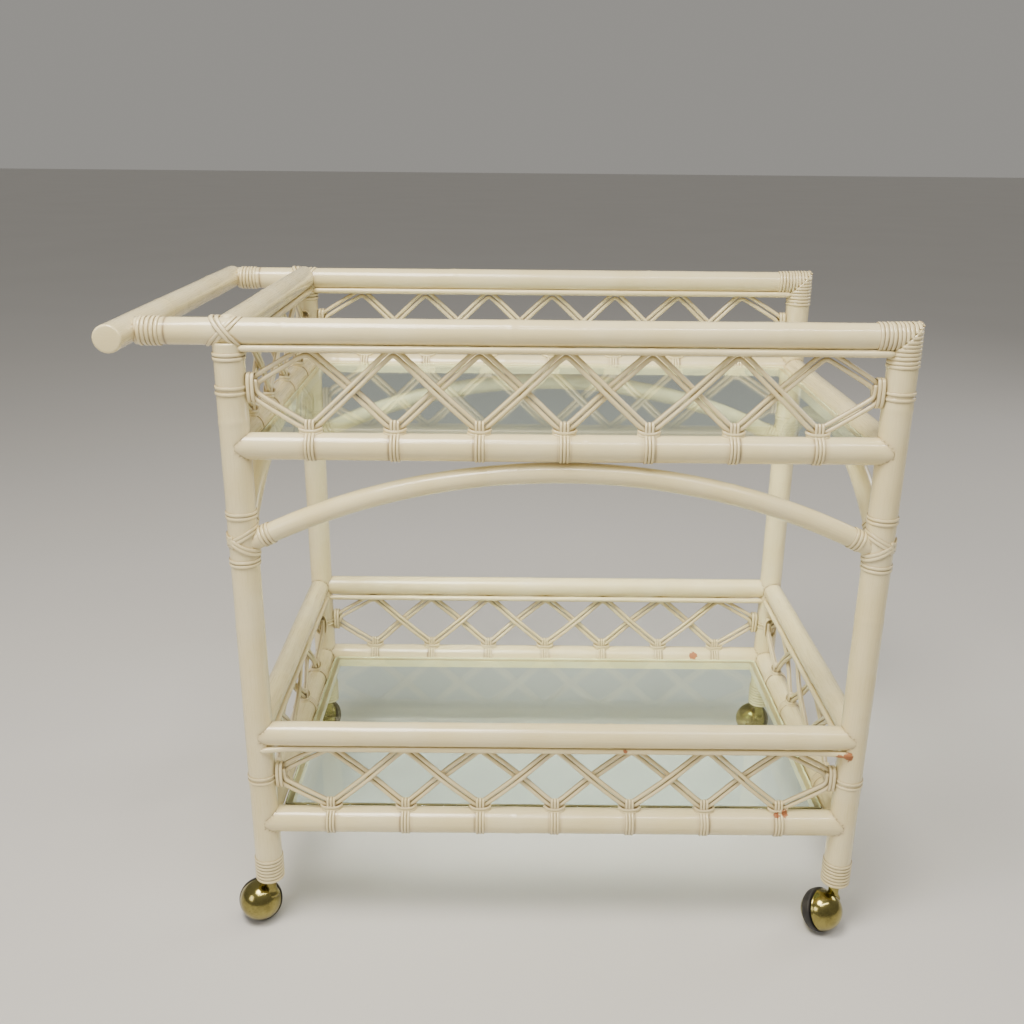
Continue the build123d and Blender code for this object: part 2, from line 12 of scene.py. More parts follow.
import bpy
import numpy as np
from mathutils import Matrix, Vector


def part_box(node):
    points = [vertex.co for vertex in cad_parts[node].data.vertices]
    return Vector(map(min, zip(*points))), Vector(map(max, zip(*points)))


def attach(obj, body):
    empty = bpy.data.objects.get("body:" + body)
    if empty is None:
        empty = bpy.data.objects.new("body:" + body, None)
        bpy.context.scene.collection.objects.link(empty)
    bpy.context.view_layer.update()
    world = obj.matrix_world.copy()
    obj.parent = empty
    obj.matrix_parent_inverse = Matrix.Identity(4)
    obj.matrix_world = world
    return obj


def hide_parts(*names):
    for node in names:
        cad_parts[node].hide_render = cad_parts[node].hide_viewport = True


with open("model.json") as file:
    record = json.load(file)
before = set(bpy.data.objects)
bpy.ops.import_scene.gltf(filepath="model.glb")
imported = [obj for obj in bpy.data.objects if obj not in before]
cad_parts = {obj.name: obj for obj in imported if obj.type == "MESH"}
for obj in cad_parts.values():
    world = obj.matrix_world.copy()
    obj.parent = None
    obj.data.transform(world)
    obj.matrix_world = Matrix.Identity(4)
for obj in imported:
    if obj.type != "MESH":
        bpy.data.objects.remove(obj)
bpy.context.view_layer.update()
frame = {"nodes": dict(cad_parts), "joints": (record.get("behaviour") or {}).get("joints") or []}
mm = 0.001

# %% [markdown]
# ## Reading the frame
# Nothing is measured twice: a pole's axis and radius are the middle and half the width of its
# node's box. A leg standing along Z is as wide as it is thick, and so is a rail seen from its end.


# %% Axes and radii of the poles
def middle_and_half(node):
    """Middle point and half size of a node's box."""
    low, high = (np.array(corner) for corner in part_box(node))
    return (low + high) / 2, (high - low) / 2


leg_axis = {}
for place in ("front_left", "front_right", "back_left", "back_right"):
    leg_middle, leg_half = middle_and_half(f"leg_{place}")
    leg_axis[place] = leg_middle[:2]
leg_r = leg_half[1]
leg_foot_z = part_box("leg_front_left")[0].z
left_x, front_y = leg_axis["front_left"]
right_x, back_y = leg_axis["back_right"]
centre = np.array([(left_x + right_x) / 2, (front_y + back_y) / 2, 0])
half_x, half_y = (right_x - left_x) / 2, (back_y - front_y) / 2

rail = {}
for prefix in ("top_rail", "tray_rail", "lower_top_rail", "lower_base_rail"):
    rail_middle, rail_half = middle_and_half(f"{prefix}_front")
    rail[prefix] = (rail_middle[2], rail_half[2])
bar_middle, bar_half = middle_and_half("top_cross_bar")
rail["top_cross_bar"] = (bar_middle[2], bar_half[0])
handle_middle, handle_half = middle_and_half("handle_bar")
arch_middle, arch_half = middle_and_half("arch_front")
arch_r = arch_half[1]
arch_crown_z = arch_middle[2] + arch_half[2] - arch_r
rail_sides = {"front": front_y, "back": back_y}
end_sides = {"left": left_x, "right": right_x}
print("leg spacing", round(2 * half_x, 4), round(2 * half_y, 4), "rails", rail)

# %% Sizes the frame's boxes don't give
arch_rise = 90.6 * mm            # crown above the point where an arch would meet a leg axis
first_bend_from_leg = 67 * mm    # first gallery bend from the leg's surface
long_bends = 7                   # bends tied to the rail on a long side
short_bends = 4
cane_r = 2.8 * mm
pair_gap = 1.0 * mm              # between the two canes of a pair
trim_r = 4 * mm
trim_outset = 9.4 * mm           # trim rod axes outside and inside the rail's axis
face_proud = 0.3 * mm            # a rail's outer face outside the legs' outer faces
butt_gap = 0.3 * mm              # between the push bar's surface and a top rail's visible start
hidden_end = 3 * mm              # how far the end of a top rail or the cross bar runs on inside
peel_width = 4.4 * mm
peel_thickness = 2.0 * mm
peel_step = 4.8 * mm             # from one turn of peel to the next

# %% [markdown]
# ## Where poles meet
# Dirt, aged paint and painted shade lie in a fine line wherever one pole runs into another. So the
# straight poles are listed first, each as the line of its axis and its radius. The gap between a
# surface point and another pole is its distance from that line less that radius, and the painted
# shade and dirt fall off with the gap. The rails between the legs lie almost flush with the legs'
# outer faces, so their coped ends come to a point on the leg.

# %% Lines of the straight poles
top_z, top_r = rail["top_rail"]
cross_z, cross_r = rail["top_cross_bar"]
handle_x, handle_r = handle_middle[0], handle_half[0]
handle_low, handle_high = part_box("handle_bar")
rail_start_x = handle_x + handle_r + butt_gap
lines = {}
for place, (x, y) in leg_axis.items():
    lines[f"leg_{place}"] = ((x, y, leg_foot_z), (x, y, top_z), leg_r)
for side, y in rail_sides.items():
    lines[f"top_rail_{side}"] = ((rail_start_x - hidden_end, y, top_z), (right_x, y, top_z), top_r)
lines["handle_bar"] = ((handle_x, handle_low.y, top_z), (handle_x, handle_high.y, top_z), handle_r)
lines["top_cross_bar"] = ((left_x, front_y - hidden_end, cross_z),
                          (left_x, back_y + hidden_end, cross_z), cross_r)
face_shift = {}
for prefix in ("tray_rail", "lower_top_rail", "lower_base_rail"):
    z, radius = rail[prefix]
    face_shift[prefix] = leg_r - radius + face_proud
    for side, y in rail_sides.items():
        y += np.sign(y - centre[1]) * face_shift[prefix]
        lines[f"{prefix}_{side}"] = ((left_x, y, z), (right_x, y, z), radius)
    for side, x in end_sides.items():
        x += np.sign(x - centre[0]) * face_shift[prefix]
        lines[f"{prefix}_{side}"] = ((x, front_y, z), (x, back_y, z), radius)
lines = {name: (np.array(start), np.array(end), radius)
         for name, (start, end, radius) in lines.items()}


def unit(vectors):
    """The vectors at length one."""
    return vectors / np.linalg.norm(vectors, axis=-1, keepdims=True)


def crease(points, middles, own="", reach=1.7 * mm):
    """Painted shade and dirt where points come close to the surface of any pole but their own: 1 in
    the corner.

    Where both surfaces face the same way the gap opens slowly, so it is divided by the sine of
    the angle between them to give the distance from the corner's line."""
    made = np.zeros(points.shape[:-1])
    facing = unit(points - middles)
    for name, (start, end, radius) in lines.items():
        if name != own:
            axis = end - start
            along = (points - start) @ axis / (axis @ axis)
            outward = points - start - along[..., None] * axis
            gap = np.abs(np.linalg.norm(outward, axis=-1) - radius)
            same = (facing * unit(outward)).sum(axis=-1)
            sine = np.sqrt(np.clip(1 - same ** 2, 0.004, 1))
            beside = (along > 0) & (along < 1)
            made = np.maximum(made, beside * np.exp(-gap / np.where(same > 0, sine, 1) / reach))
    return made


# %% [markdown]
# ## Surfaces from arrays
# Every new piece is a grid of points: rows go along the pole, cane or winding, and columns go
# round it. One array operation works out the whole grid. Rows and columns are then joined into
# four-sided faces that point outwards, and the open ends are closed with a fan of triangles.
# Each point also carries where it is on the surface, in metres along and around, and a number
# for how much painted shade, dirt and yellowed paint it gets. The paint reads both.


# %% A surface, and a mesh made of several
class Skin:
    """A grid of points with its place along and around, and its painted shade and dirt from 0 to 1.

    Rows run along the surface and columns go round it and meet themselves. looped says that
    the last row meets the first, as in a ring; otherwise both ends are closed by fans."""

    def __init__(self, points, along, around, shade_and_grime, looped=False):
        shape = points.shape[:2]
        self.points = points
        self.along = np.broadcast_to(along, shape)
        self.around = np.broadcast_to(around, shape)
        self.shade_and_grime = np.broadcast_to(shade_and_grime, shape)
        self.looped = looped

    def faces(self, first):
        """Corners of its faces, as numbers of points counted from first."""
        rows, columns = self.points.shape[:2]
        here = first + np.arange(rows * columns).reshape(rows, columns)
        beside = np.roll(here, -1, axis=1)
        quads = np.stack([here, beside, np.roll(beside, -1, axis=0), np.roll(here, -1, axis=0)], -1)
        if self.looped:
            return quads.reshape(-1, 4).tolist()
        start, end = first + rows * columns, first + rows * columns + 1
        fans = [[start, b, a] for a, b in zip(here[0], beside[0])]
        fans += [[end, a, b] for a, b in zip(here[-1], beside[-1])]
        return quads[:-1].reshape(-1, 4).tolist() + fans

    def columns_of(self, values):
        """The values of its points, then those of its two end points if it has them."""
        flat = values.reshape(-1, *values.shape[2:])
        if self.looped:
            return flat
        return np.concatenate([flat, values[:1].mean(axis=1), values[-1:].mean(axis=1)])


def make_piece(name, skins, paint, body, replaced=()):
    """One object from one or several skins, painted, riding on a body, standing for CAD nodes."""
    points, places, shade_and_grime, faces = [], [], [], []
    count = 0
    for skin in skins:
        faces += skin.faces(count)
        points.append(skin.columns_of(skin.points))
        places.append(skin.columns_of(np.stack([skin.along, skin.around], -1)))
        shade_and_grime.append(skin.columns_of(skin.shade_and_grime))
        count += len(points[-1])
    mesh = bpy.data.meshes.new(name)
    mesh.from_pydata(np.concatenate(points).tolist(), [], faces)
    corner = np.empty(len(mesh.loops), np.int32)
    mesh.loops.foreach_get("vertex_index", corner)
    layer = mesh.uv_layers.new(name="Surface")
    layer.data.foreach_set("uv", np.concatenate(places)[corner].astype(np.float32).ravel())
    dirt = mesh.attributes.new("shade_and_grime", "FLOAT", "POINT")
    dirt.data.foreach_set("value", np.concatenate(shade_and_grime).astype(np.float32))
    mesh.polygons.foreach_set("use_smooth", np.ones(len(mesh.polygons), bool))
    mesh.materials.append(paint)
    piece = bpy.data.objects.new(name, mesh)
    bpy.context.scene.collection.objects.link(piece)
    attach(piece, body)
    if replaced:
        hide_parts(*replaced)
    print(f"{name}: {len(mesh.polygons)} faces")
    return piece


def pole_piece(name, skin, node):
    """A painted pole of the frame."""
    make_piece(name, [skin], pole_paint, "frame", [node])


def peel_piece(name, turns, replaced=()):
    """Painted peel on the frame."""
    make_piece(name, turns, peel_paint, "frame", replaced)


# %% [markdown]
# ## A section carried along a path
# A pole, a cane and a turn of peel are all a round or oval section carried along a line. At each
# point of the line the section stands square to the direction of travel. A fixed reference
# direction that never lies along the path says which way is its first axis, so it can't twist.


# %% Carrying a section along a path
def along_path(path, looped=False):
    """Direction of travel at each point, and distance travelled."""
    if looped:
        step = np.roll(path, -1, axis=0) - np.roll(path, 1, axis=0)
    else:
        step = np.gradient(path, axis=0)
    gaps = np.linalg.norm(np.diff(path, axis=0), axis=1)
    return unit(step), np.concatenate([[0], np.cumsum(gaps)])


def carry(path, reference, across, through, columns, looped=False):
    """Points of a section carried along a path.

    At angle a round the section a point stands across * cos(a) along the reference, made square
    to the path, and through * sin(a) along the third direction."""
    travel, distance = along_path(path, looped)
    first = unit(reference - travel * (travel @ reference)[:, None])
    second = np.cross(travel, first)
    angle = np.arange(columns) * 2 * np.pi / columns
    points = (path[:, None] + np.multiply(across, np.cos(angle))[..., None] * first[:, None]
              + np.multiply(through, np.sin(angle))[..., None] * second[:, None])
    return points, distance, angle


def fold(angle):
    """Angle from 0 to pi and back to 0, so that a pattern meets itself where a surface closes."""
    return np.pi - np.abs(angle - np.pi)


# %% [markdown]
# ## Rattan poles
# A drawn cylinder looks like plastic pipe. A rattan stem is a little oval, swells and narrows by
# a few tenths of a millimetre, and has a low ridge where each leaf sheath grew. The radius is a
# function of the distance along and the angle round: the nominal radius, less a slow wave of
# both, plus a narrow bell at each ridge. A seeded generator places the ridges, so each pole
# differs and every run gives the same cart. Cut ends are rounded over by brush and sandpaper.


# %% The radius of a stem
ridge_spacing = 0.24             # usual distance between leaf rings
ridge_height = 0.45 * mm
ridge_width = 3.2 * mm


def stem_radius(distance, angle, radius, seed):
    """Radius of a rattan stem: nominal, less slow waves, plus a bell at each leaf ring."""
    chance = np.random.default_rng(seed)
    s, a = distance[:, None], angle[None, :]
    phase = chance.uniform(0, 2 * np.pi, 5)
    wave = (np.sin(s * 19 + phase[0]) + np.sin(s * 43 + 2 * a + phase[1])
            + 1.4 * np.sin(2 * a + phase[2] + s * 3) + 0.5 * np.sin(s * 97 + 3 * a + phase[3]))
    made = radius * (0.988 + 0.0045 * wave)
    first = chance.uniform(0.3, 0.8) * ridge_spacing
    rings = np.arange(first, distance[-1], ridge_spacing)
    for ring in rings + chance.uniform(-0.03, 0.03, len(rings)):
        tilt = 1.5 * mm * np.sin(a + phase[4])
        made = made + ridge_height * np.exp(-((s - ring - tilt) / ridge_width) ** 2)
    return made


def near(distance, marks, reach):
    """Painted shade and dirt at marked places along a pole, fading over a reach."""
    made = np.zeros_like(distance)
    for mark in marks:
        made = np.maximum(made, np.exp(-np.abs(distance - mark) / reach))
    return made


def stations(length, step, start_round, end_round):
    """Distances along a pole, and how far its surface draws in there for its rounded ends.

    A rounded end is a quarter circle: at angle b the surface has gone r - r cos b along and
    is still r - r sin b short of full size."""
    quarter = np.linspace(0, np.pi / 2, 6)
    low, high = start_round * (1 - np.cos(quarter)), length - end_round * (1 - np.cos(quarter))
    count = max(2, int((length - start_round - end_round) / step))
    body = np.linspace(start_round, length - end_round, count + 1)
    low_in, high_in = start_round * (1 - np.sin(quarter)), end_round * (1 - np.sin(quarter))
    start = low[:-1] if start_round else low[:0]
    end = high[:-1][::-1] if end_round else high[:0]
    distance = np.concatenate([start, body, end])
    drawn_in = np.concatenate([low_in[:len(start)], 0 * body, high_in[:len(end)][::-1]])
    return distance, drawn_in


# %% Straight and bent poles
pole_columns = 40
pole_step = 3 * mm
mark_reach = 1.8 * mm


def straight_pole(name, seed, marks=(), start_round=0, end_round=0, end_cut=None):
    """The stem on a listed line; end_cut(angle) pushes its far edge along the axis."""
    start, end, radius = lines[name]
    length = np.linalg.norm(end - start)
    axis = (end - start) / length
    reference = np.array([0.0, 0, 1]) if abs(axis[2]) < 0.5 else np.array([1.0, 0, 0])
    distance, drawn_in = stations(length, pole_step, start_round, end_round)
    path = start + distance[:, None] * axis
    angle = np.arange(pole_columns) * 2 * np.pi / pole_columns
    size = stem_radius(distance, angle, radius, seed) - drawn_in[:, None]
    points, _, _ = carry(path, reference, size, size, pole_columns)
    if end_cut is not None:
        cut_reach = 40 * mm
        ramp = np.clip((distance - length + cut_reach) / cut_reach, 0, 1)
        points = points + (ramp[:, None] * end_cut(angle))[..., None] * axis
    # painted shade and dirt beside the marked bands and where other poles come close
    shade_and_grime = np.maximum(near(distance, marks, mark_reach)[:, None],
                       crease(points, path[:, None], name))
    return Skin(points, distance[:, None], radius * fold(angle), shade_and_grime)


def bent_pole(path, reference, radius, seed, marks=()):
    """A stem bent along a path that lies in the plane square to the reference."""
    _, distance = along_path(path)
    angle = np.arange(pole_columns) * 2 * np.pi / pole_columns
    size = stem_radius(distance, angle, radius, seed)
    points, _, _ = carry(path, reference, size, size, pole_columns)
    # painted shade and dirt beside the marked bands and where other poles come close
    shade_and_grime = np.maximum(near(distance, marks, mark_reach)[:, None], crease(points, path[:, None]))
    return Skin(points, distance[:, None], radius * fold(angle), shade_and_grime)


# %% [markdown]
# ## Shader sums as Python sums
# A paint is arithmetic on patterns. This small class wraps a node's output, so that mask * 0.5
# or 1 - mask adds the Math node it stands for. One method adds any other node.


# %% Sockets that take part in sums
class Wire:
    """An output socket of a material; arithmetic on it adds Math nodes."""

    def __init__(self, tree, socket):
        self.tree = tree
        self.socket = socket

    def node(self, kind, settings=None, inputs=None, output=0):
        """Adds a node, applies its settings, fills or links its sockets and gives an output."""
        made = self.tree.nodes.new(kind)
        for name, value in (settings or {}).items():
            setattr(made, name, value)
        for name, value in (inputs or {}).items():
            if isinstance(value, Wire):
                self.tree.links.new(value.socket, made.inputs[name])
            else:
                made.inputs[name].default_value = value
        return Wire(self.tree, made.outputs[output])

    def math(self, operation, a, b=0.0, clamp=False):
        """One Math node."""
        settings = {"operation": operation, "use_clamp": clamp}
        return self.node("ShaderNodeMath", settings, {0: a, 1: b})

    def __add__(self, other):
        return self.math("ADD", self, other)

    def __radd__(self, other):
        return self.math("ADD", other, self)

    def __sub__(self, other):
        return self.math("SUBTRACT", self, other)

    def __rsub__(self, other):
        return self.math("SUBTRACT", other, self)

    def __mul__(self, other):
        return self.math("MULTIPLY", self, other)

    def __rmul__(self, other):
        return self.math("MULTIPLY", other, self)

    def above(self, level, softness):
        """1 where the value is over a level, fading to 0 over a softness."""
        return self.math("MULTIPLY", self - level, 1 / softness, clamp=True)

    def highest(self, other):
        """The larger of two values."""
        return self.math("MAXIMUM", self, other)

    def mix(self, colour_a, colour_b):
        """colour_a where this mask is 0 and colour_b where it is 1."""
        return self.node("ShaderNodeMix", {"data_type": "RGBA"},
                         {0: self, 6: colour_a, 7: colour_b}, output=2)

    def noise(self, vector, scale, detail=3.0, roughness=0.5):
        """Noise from 0 to 1 over a vector."""
        return self.node("ShaderNodeTexNoise", None, {
            "Vector": vector, "Scale": scale, "Detail": detail, "Roughness": roughness})

    def scaled(self, vector, factors):
        """A vector with each part multiplied by its own factor."""
        return self.node("ShaderNodeVectorMath", {"operation": "MULTIPLY"}, {0: vector, 1: factors})

    def apart(self, vector, point):
        """Distance of a vector from a fixed point."""
        return self.node("ShaderNodeVectorMath", {"operation": "DISTANCE"},
                         {0: vector, 1: point}, output="Value")


def new_finish(name, **constants):
    """A material with one Principled shader; the constants are set on its own sockets."""
    material = bpy.data.materials.new(name)
    material.use_nodes = True
    tree = material.node_tree
    shader = tree.nodes["Principled BSDF"]
    for socket, value in constants.items():
        shader.inputs[socket.replace("_", " ")].default_value = value
    place = tree.nodes.new("ShaderNodeTexCoord")
    return material, shader, Wire(tree, place.outputs["Object"]), Wire(tree, place.outputs["UV"])


def connect(shader, wire, socket):
    """Links a wire to one of the shader's sockets."""
    wire.tree.links.new(wire.socket, shader.inputs[socket])


# %% [markdown]
# ## Cream gloss paint
# The paint was brushed on along the poles. It shows long faint streaks, small pits where the
# skin didn't take it, and a warm yellow in every crease, where it lies thick and has aged. The
# creases also carry painted shade: a darker yellow and a dark brown line wherever poles, canes and
# peel meet, as much the shade that falls there as dirt. At a few knocks it has chipped down to
# the orange-brown rattan. Streaks follow the surface's own along and around coordinates; chips
# are places on the cart, read from the object coordinates.

# %% Colours of the paint
cream = (0.82, 0.70, 0.375, 1)
pale_cream = (0.86, 0.76, 0.46, 1)
aged_yellow = (0.52, 0.385, 0.19, 1)
# painted shade: the dark brown laid into creases and corners, with some dirt
shade_and_dirt_brown = (0.13, 0.085, 0.04, 1)
bare_rattan = (0.30, 0.095, 0.03, 1)
bare_light = (0.50, 0.21, 0.08, 1)

lower_top_z, lower_base_z = rail["lower_top_rail"][0], rail["lower_base_rail"][0]
chips = [  # where the paint is knocked off: place on the cart, and how far it reaches
    ((right_x - 10 * mm, front_y - 17 * mm, lower_top_z - 19 * mm), 7 * mm),
    ((right_x - 19 * mm, front_y - 15 * mm, lower_top_z - 20 * mm), 5 * mm),
    ((right_x - 76 * mm, front_y - 8 * mm, lower_base_z + 18 * mm), 5 * mm),
    ((right_x - 87 * mm, front_y - 9 * mm, lower_base_z + 16 * mm), 4 * mm),
    ((centre[0] + 84 * mm, front_y - 13 * mm, lower_top_z - 15 * mm), 2.6 * mm),
    ((right_x - 120 * mm, back_y - 14 * mm, lower_base_z + 9 * mm), 7 * mm),
    ((right_x - 1 * mm, front_y - 20 * mm, arch_crown_z - arch_rise - 12 * mm), 2.5 * mm),
]


# %% The paint itself
def gloss_paint(name, streaks, yellow_shade_strength, crease_shade_strength=0.85):
    """Brushed cream gloss; streaks is 1 on poles that carry along and around coordinates."""
    material, shader, place, surface = new_finish(name, Specular_IOR_Level=0.5, Coat_Roughness=0.07)
    shade_and_grime = place.node("ShaderNodeAttribute", {"attribute_name": "shade_and_grime"}, output="Fac")
    brush = surface.noise(surface.scaled(surface, (22, 900, 1)), 1.0, 4.0, 0.6)
    ripple = surface.noise(surface.scaled(surface, (9, 160, 1)), 1.0, 2.0)
    cloud = place.noise(place, 14, 3.0)
    speck = place.noise(place, 420, 2.0, 0.6)
    fleck = place.noise(place, 900, 1.0)
    pits = speck.above(0.64, 0.10)

    body = cloud.above(0.42, 0.3).mix(cream, pale_cream)
    # yellowed paint: aged thick paint in creases and pits, darkened further in the creases as
    # painted shade
    yellowing_and_shade = (shade_and_grime * yellow_shade_strength + cloud * shade_and_grime * 0.35 + pits * 0.16).highest(
        cloud.above(0.60, 0.25) * 0.16)
    coloured = place.math("MULTIPLY", yellowing_and_shade, 1.0, clamp=True).mix(body, aged_yellow)
    streak_mask = brush.above(0.56, 0.22) * (0.26 * streaks)
    coloured = streak_mask.mix(coloured, aged_yellow)
    # painted shade and dirt: dark brown where poles, canes and peel meet
    corner_shade_and_dirt = shade_and_grime.above(0.50, 0.45) * (0.55 + fleck * 0.6)
    coloured = place.math("MULTIPLY", corner_shade_and_dirt, crease_shade_strength, clamp=True).mix(
        coloured, shade_and_dirt_brown)

    edge = place.noise(place, 260, 4.0, 0.65)
    chipped = place.math("MULTIPLY", 0.0, 0.0)
    for point, reach in chips:
        spot = 1 - place.apart(place, point) * (1 / reach)
        chipped = chipped.highest((spot + (edge - 0.5) * 1.5).above(0.0, 0.08))
    wood = edge.mix(bare_rattan, bare_light)
    coloured = chipped.mix(coloured, wood)
    connect(shader, coloured, "Base Color")
    connect(shader, 0.20 + brush * 0.16 + yellowing_and_shade * 0.15 + chipped * 0.3, "Roughness")
    connect(shader, 0.6 * (1 - chipped), "Coat Weight")

    height = (brush * (0.35 * streaks) + ripple * (0.15 * streaks) + speck * 0.16 - pits * 0.9
              - chipped * 2.2)
    bump = height.node("ShaderNodeBump", None,
                       {"Height": height, "Strength": 0.4, "Distance": 0.25 * mm})
    connect(shader, bump, "Normal")
    return material


pole_paint = gloss_paint("cream_gloss_on_poles", 1.0, 0.55)
cane_paint = gloss_paint("cream_gloss_on_canes", 0.25, 0.60, 0.8)
peel_paint = gloss_paint("cream_gloss_on_peel", 0.1, 0.85, 0.8)
batten_paint = gloss_paint("cream_gloss_on_battens", 0.0, 0.5)
print("paints", len(bpy.data.materials))

# %% [markdown]
# ## Legs
# Each leg is one straight stem. The left pair ends in a saddle under the round top rail: a point
# of the leg at sideways distance d meets a rail of radius r at the height sqrt(r^2 - d^2) below
# its axis. The right pair is cut at 45 degrees to meet its rail in a mitre.

# %% Four legs
saddle_drop = 11 * mm            # the saddle's points stay this far below the rail's axis
corner_cut = 11 * mm             # a mitre's sharp outer corner is sanded off here


def saddle(angle):
    """Height of a left leg's top edge over the rail's axis, at an angle round the leg."""
    sideways = np.minimum(np.abs(leg_r * np.sin(angle)), np.sqrt(top_r ** 2 - saddle_drop ** 2))
    return -np.sqrt(top_r ** 2 - sideways ** 2)


def mitre_on_leg(angle):
    """Height of a right leg's top edge over the rail's axis: level with its outward distance."""
    return np.minimum(leg_r * np.cos(angle), corner_cut)


for seed, (place, (x, y)) in enumerate(leg_axis.items()):
    cut = saddle if x < centre[0] else mitre_on_leg
    skin = straight_pole(f"leg_{place}", seed + 1, start_round=2 * mm, end_cut=cut)
    pole_piece(f"rattan_leg_{place}", skin, f"leg_{place}")

# %% [markdown]
# ## Top rails, push bar and cross bar
# The two long rails run from the push bar to the mitred corners. The push bar's sawn end stands
# out in front as a flat disc with a worn edge. The cross bar lies over the left legs and ends in
# the rails.


# %% The top of the frame
def mitre_on_rail(angle):
    """How far the rail's end runs past the leg's axis: as far as its point stands up."""
    return np.minimum(top_r * np.cos(angle), corner_cut)


bends_long = np.linspace(-1, 1, long_bends) * (half_x - leg_r - first_bend_from_leg)
bends_short = np.linspace(-1, 1, short_bends) * (half_y - leg_r - first_bend_from_leg)
for seed, side in enumerate(rail_sides):
    skin = straight_pole(f"top_rail_{side}", seed + 11, [33 * mm], end_cut=mitre_on_rail)
    pole_piece(f"rattan_top_rail_{side}", skin, f"top_rail_{side}")

worn_edge = 2.6 * mm
bar = straight_pole("handle_bar", 21, start_round=worn_edge, end_round=worn_edge)
pole_piece("rattan_push_bar", bar, "handle_bar")
bar = straight_pole("top_cross_bar", 22, start_round=9 * mm, end_round=9 * mm)
pole_piece("rattan_cross_bar", bar, "top_cross_bar")

# %% [markdown]
# ## Rails between the legs
# Three rings of four rails run from leg to leg. Each rail's end is coped to the round leg on the
# real cart. Here it runs on to the leg's axis, and the two round surfaces meet in just that
# curve. Extra marks of painted shade and dirt sit on both sides of the bands that tie the
# galleries to a rail.

# %% Twelve rails
binding_half = 6.6 * mm          # half the width of the bands at one bend, and a little more
seed = 30
for prefix in ("tray_rail", "lower_top_rail", "lower_base_rail"):
    for side in (*rail_sides, *end_sides):
        tied = prefix != "lower_top_rail" and (prefix, side) != ("tray_rail", "right")
        half, bends = (half_x, bends_long) if side in rail_sides else (half_y, bends_short)
        marks = [half + s + way * binding_half for s in bends for way in (-1, 1) if tied]
        skin = straight_pole(f"{prefix}_{side}", seed, marks, start_round=3 * mm, end_round=3 * mm)
        pole_piece(f"rattan_{prefix}_{side}", skin, f"{prefix}_{side}")
        seed += 1

# %% [markdown]
# ## Arches
# A thinner stem is steamed and bent under each upper rail. Its line is an arc of a circle. With
# half span w and rise h, the circle's radius is (w^2 + h^2) / 2h.


# %% Four arches
def arch_path(start, end, count=90):
    """Arc from one leg axis to another, its crown against the tray rail."""
    start, end = np.array(start, float), np.array(end, float)
    span = np.linalg.norm(end - start)
    radius = ((span / 2) ** 2 + arch_rise ** 2) / (2 * arch_rise)
    reach = np.arcsin(span / 2 / radius)
    turn = np.linspace(-reach, reach, count)
    flat = (start + end) / 2 + radius * np.sin(turn)[:, None] * (end - start) / span
    flat[:, 2] = arch_crown_z - radius * (1 - np.cos(turn))
    return flat


arch_lines = {
    "front": arch_path((left_x, front_y, 0), (right_x, front_y, 0)),
    "back": arch_path((left_x, back_y, 0), (right_x, back_y, 0)),
    "left": arch_path((left_x, front_y, 0), (left_x, back_y, 0), 60),
    "right": arch_path((right_x, front_y, 0), (right_x, back_y, 0), 60),
}
for seed, (side, line) in enumerate(arch_lines.items()):
    square_to_plane = np.array([0.0, 1, 0]) if side in rail_sides else np.array([1.0, 0, 0])
    length = along_path(line)[1][-1]
    skin = bent_pole(line, square_to_plane, arch_r, seed + 51, [20 * mm, length - 20 * mm])
    pole_piece(f"rattan_arch_{side}", skin, f"arch_{side}")

# %% [markdown]
# ## Gallery canes
# Each gallery is two zigzags of paired thin canes that cross in diamonds. A cane is bent over a
# pin, so its corners are round. The path is the corner line plus one term for each corner: half
# the change of direction times sqrt(t^2 + d^2) - |t|, where t is the distance from the corner and
# d sets how round it is. Far from the corner the term vanishes; at the corner it pulls the path
# in by d times the sine of the slope. The zigzag that starts from a low bend lies on the outside:
# between two bends its pair moves out of the panel's plane by a squared sine, and the other
# zigzag's pair moves back behind it.

# %% Rounded corner lines
outer_bend = 6.0 * mm            # roundness of the outer cane's bend
inner_bend = 3.8 * mm
cane_columns = 10
cane_step = 3.0 * mm
weave_depth = 3.1 * mm


def rounded(corners, roundness):
    """Points along a corner line whose corners are rounded, about cane_step apart."""
    legs = np.diff(corners, axis=0)
    lengths = np.linalg.norm(legs, axis=1)
    heading = legs / lengths[:, None]
    where = np.concatenate([[0], np.cumsum(lengths)])
    travel = np.linspace(0, where[-1], int(where[-1] / cane_step))
    line = np.stack([np.interp(travel, where, corners[:, k]) for k in range(2)], -1)
    for corner, turn, d in zip(where[1:-1], np.diff(heading, axis=0), roundness):
        t = travel - corner
        line += (np.sqrt(t ** 2 + d ** 2) - np.abs(t))[:, None] * turn / 2
    return line


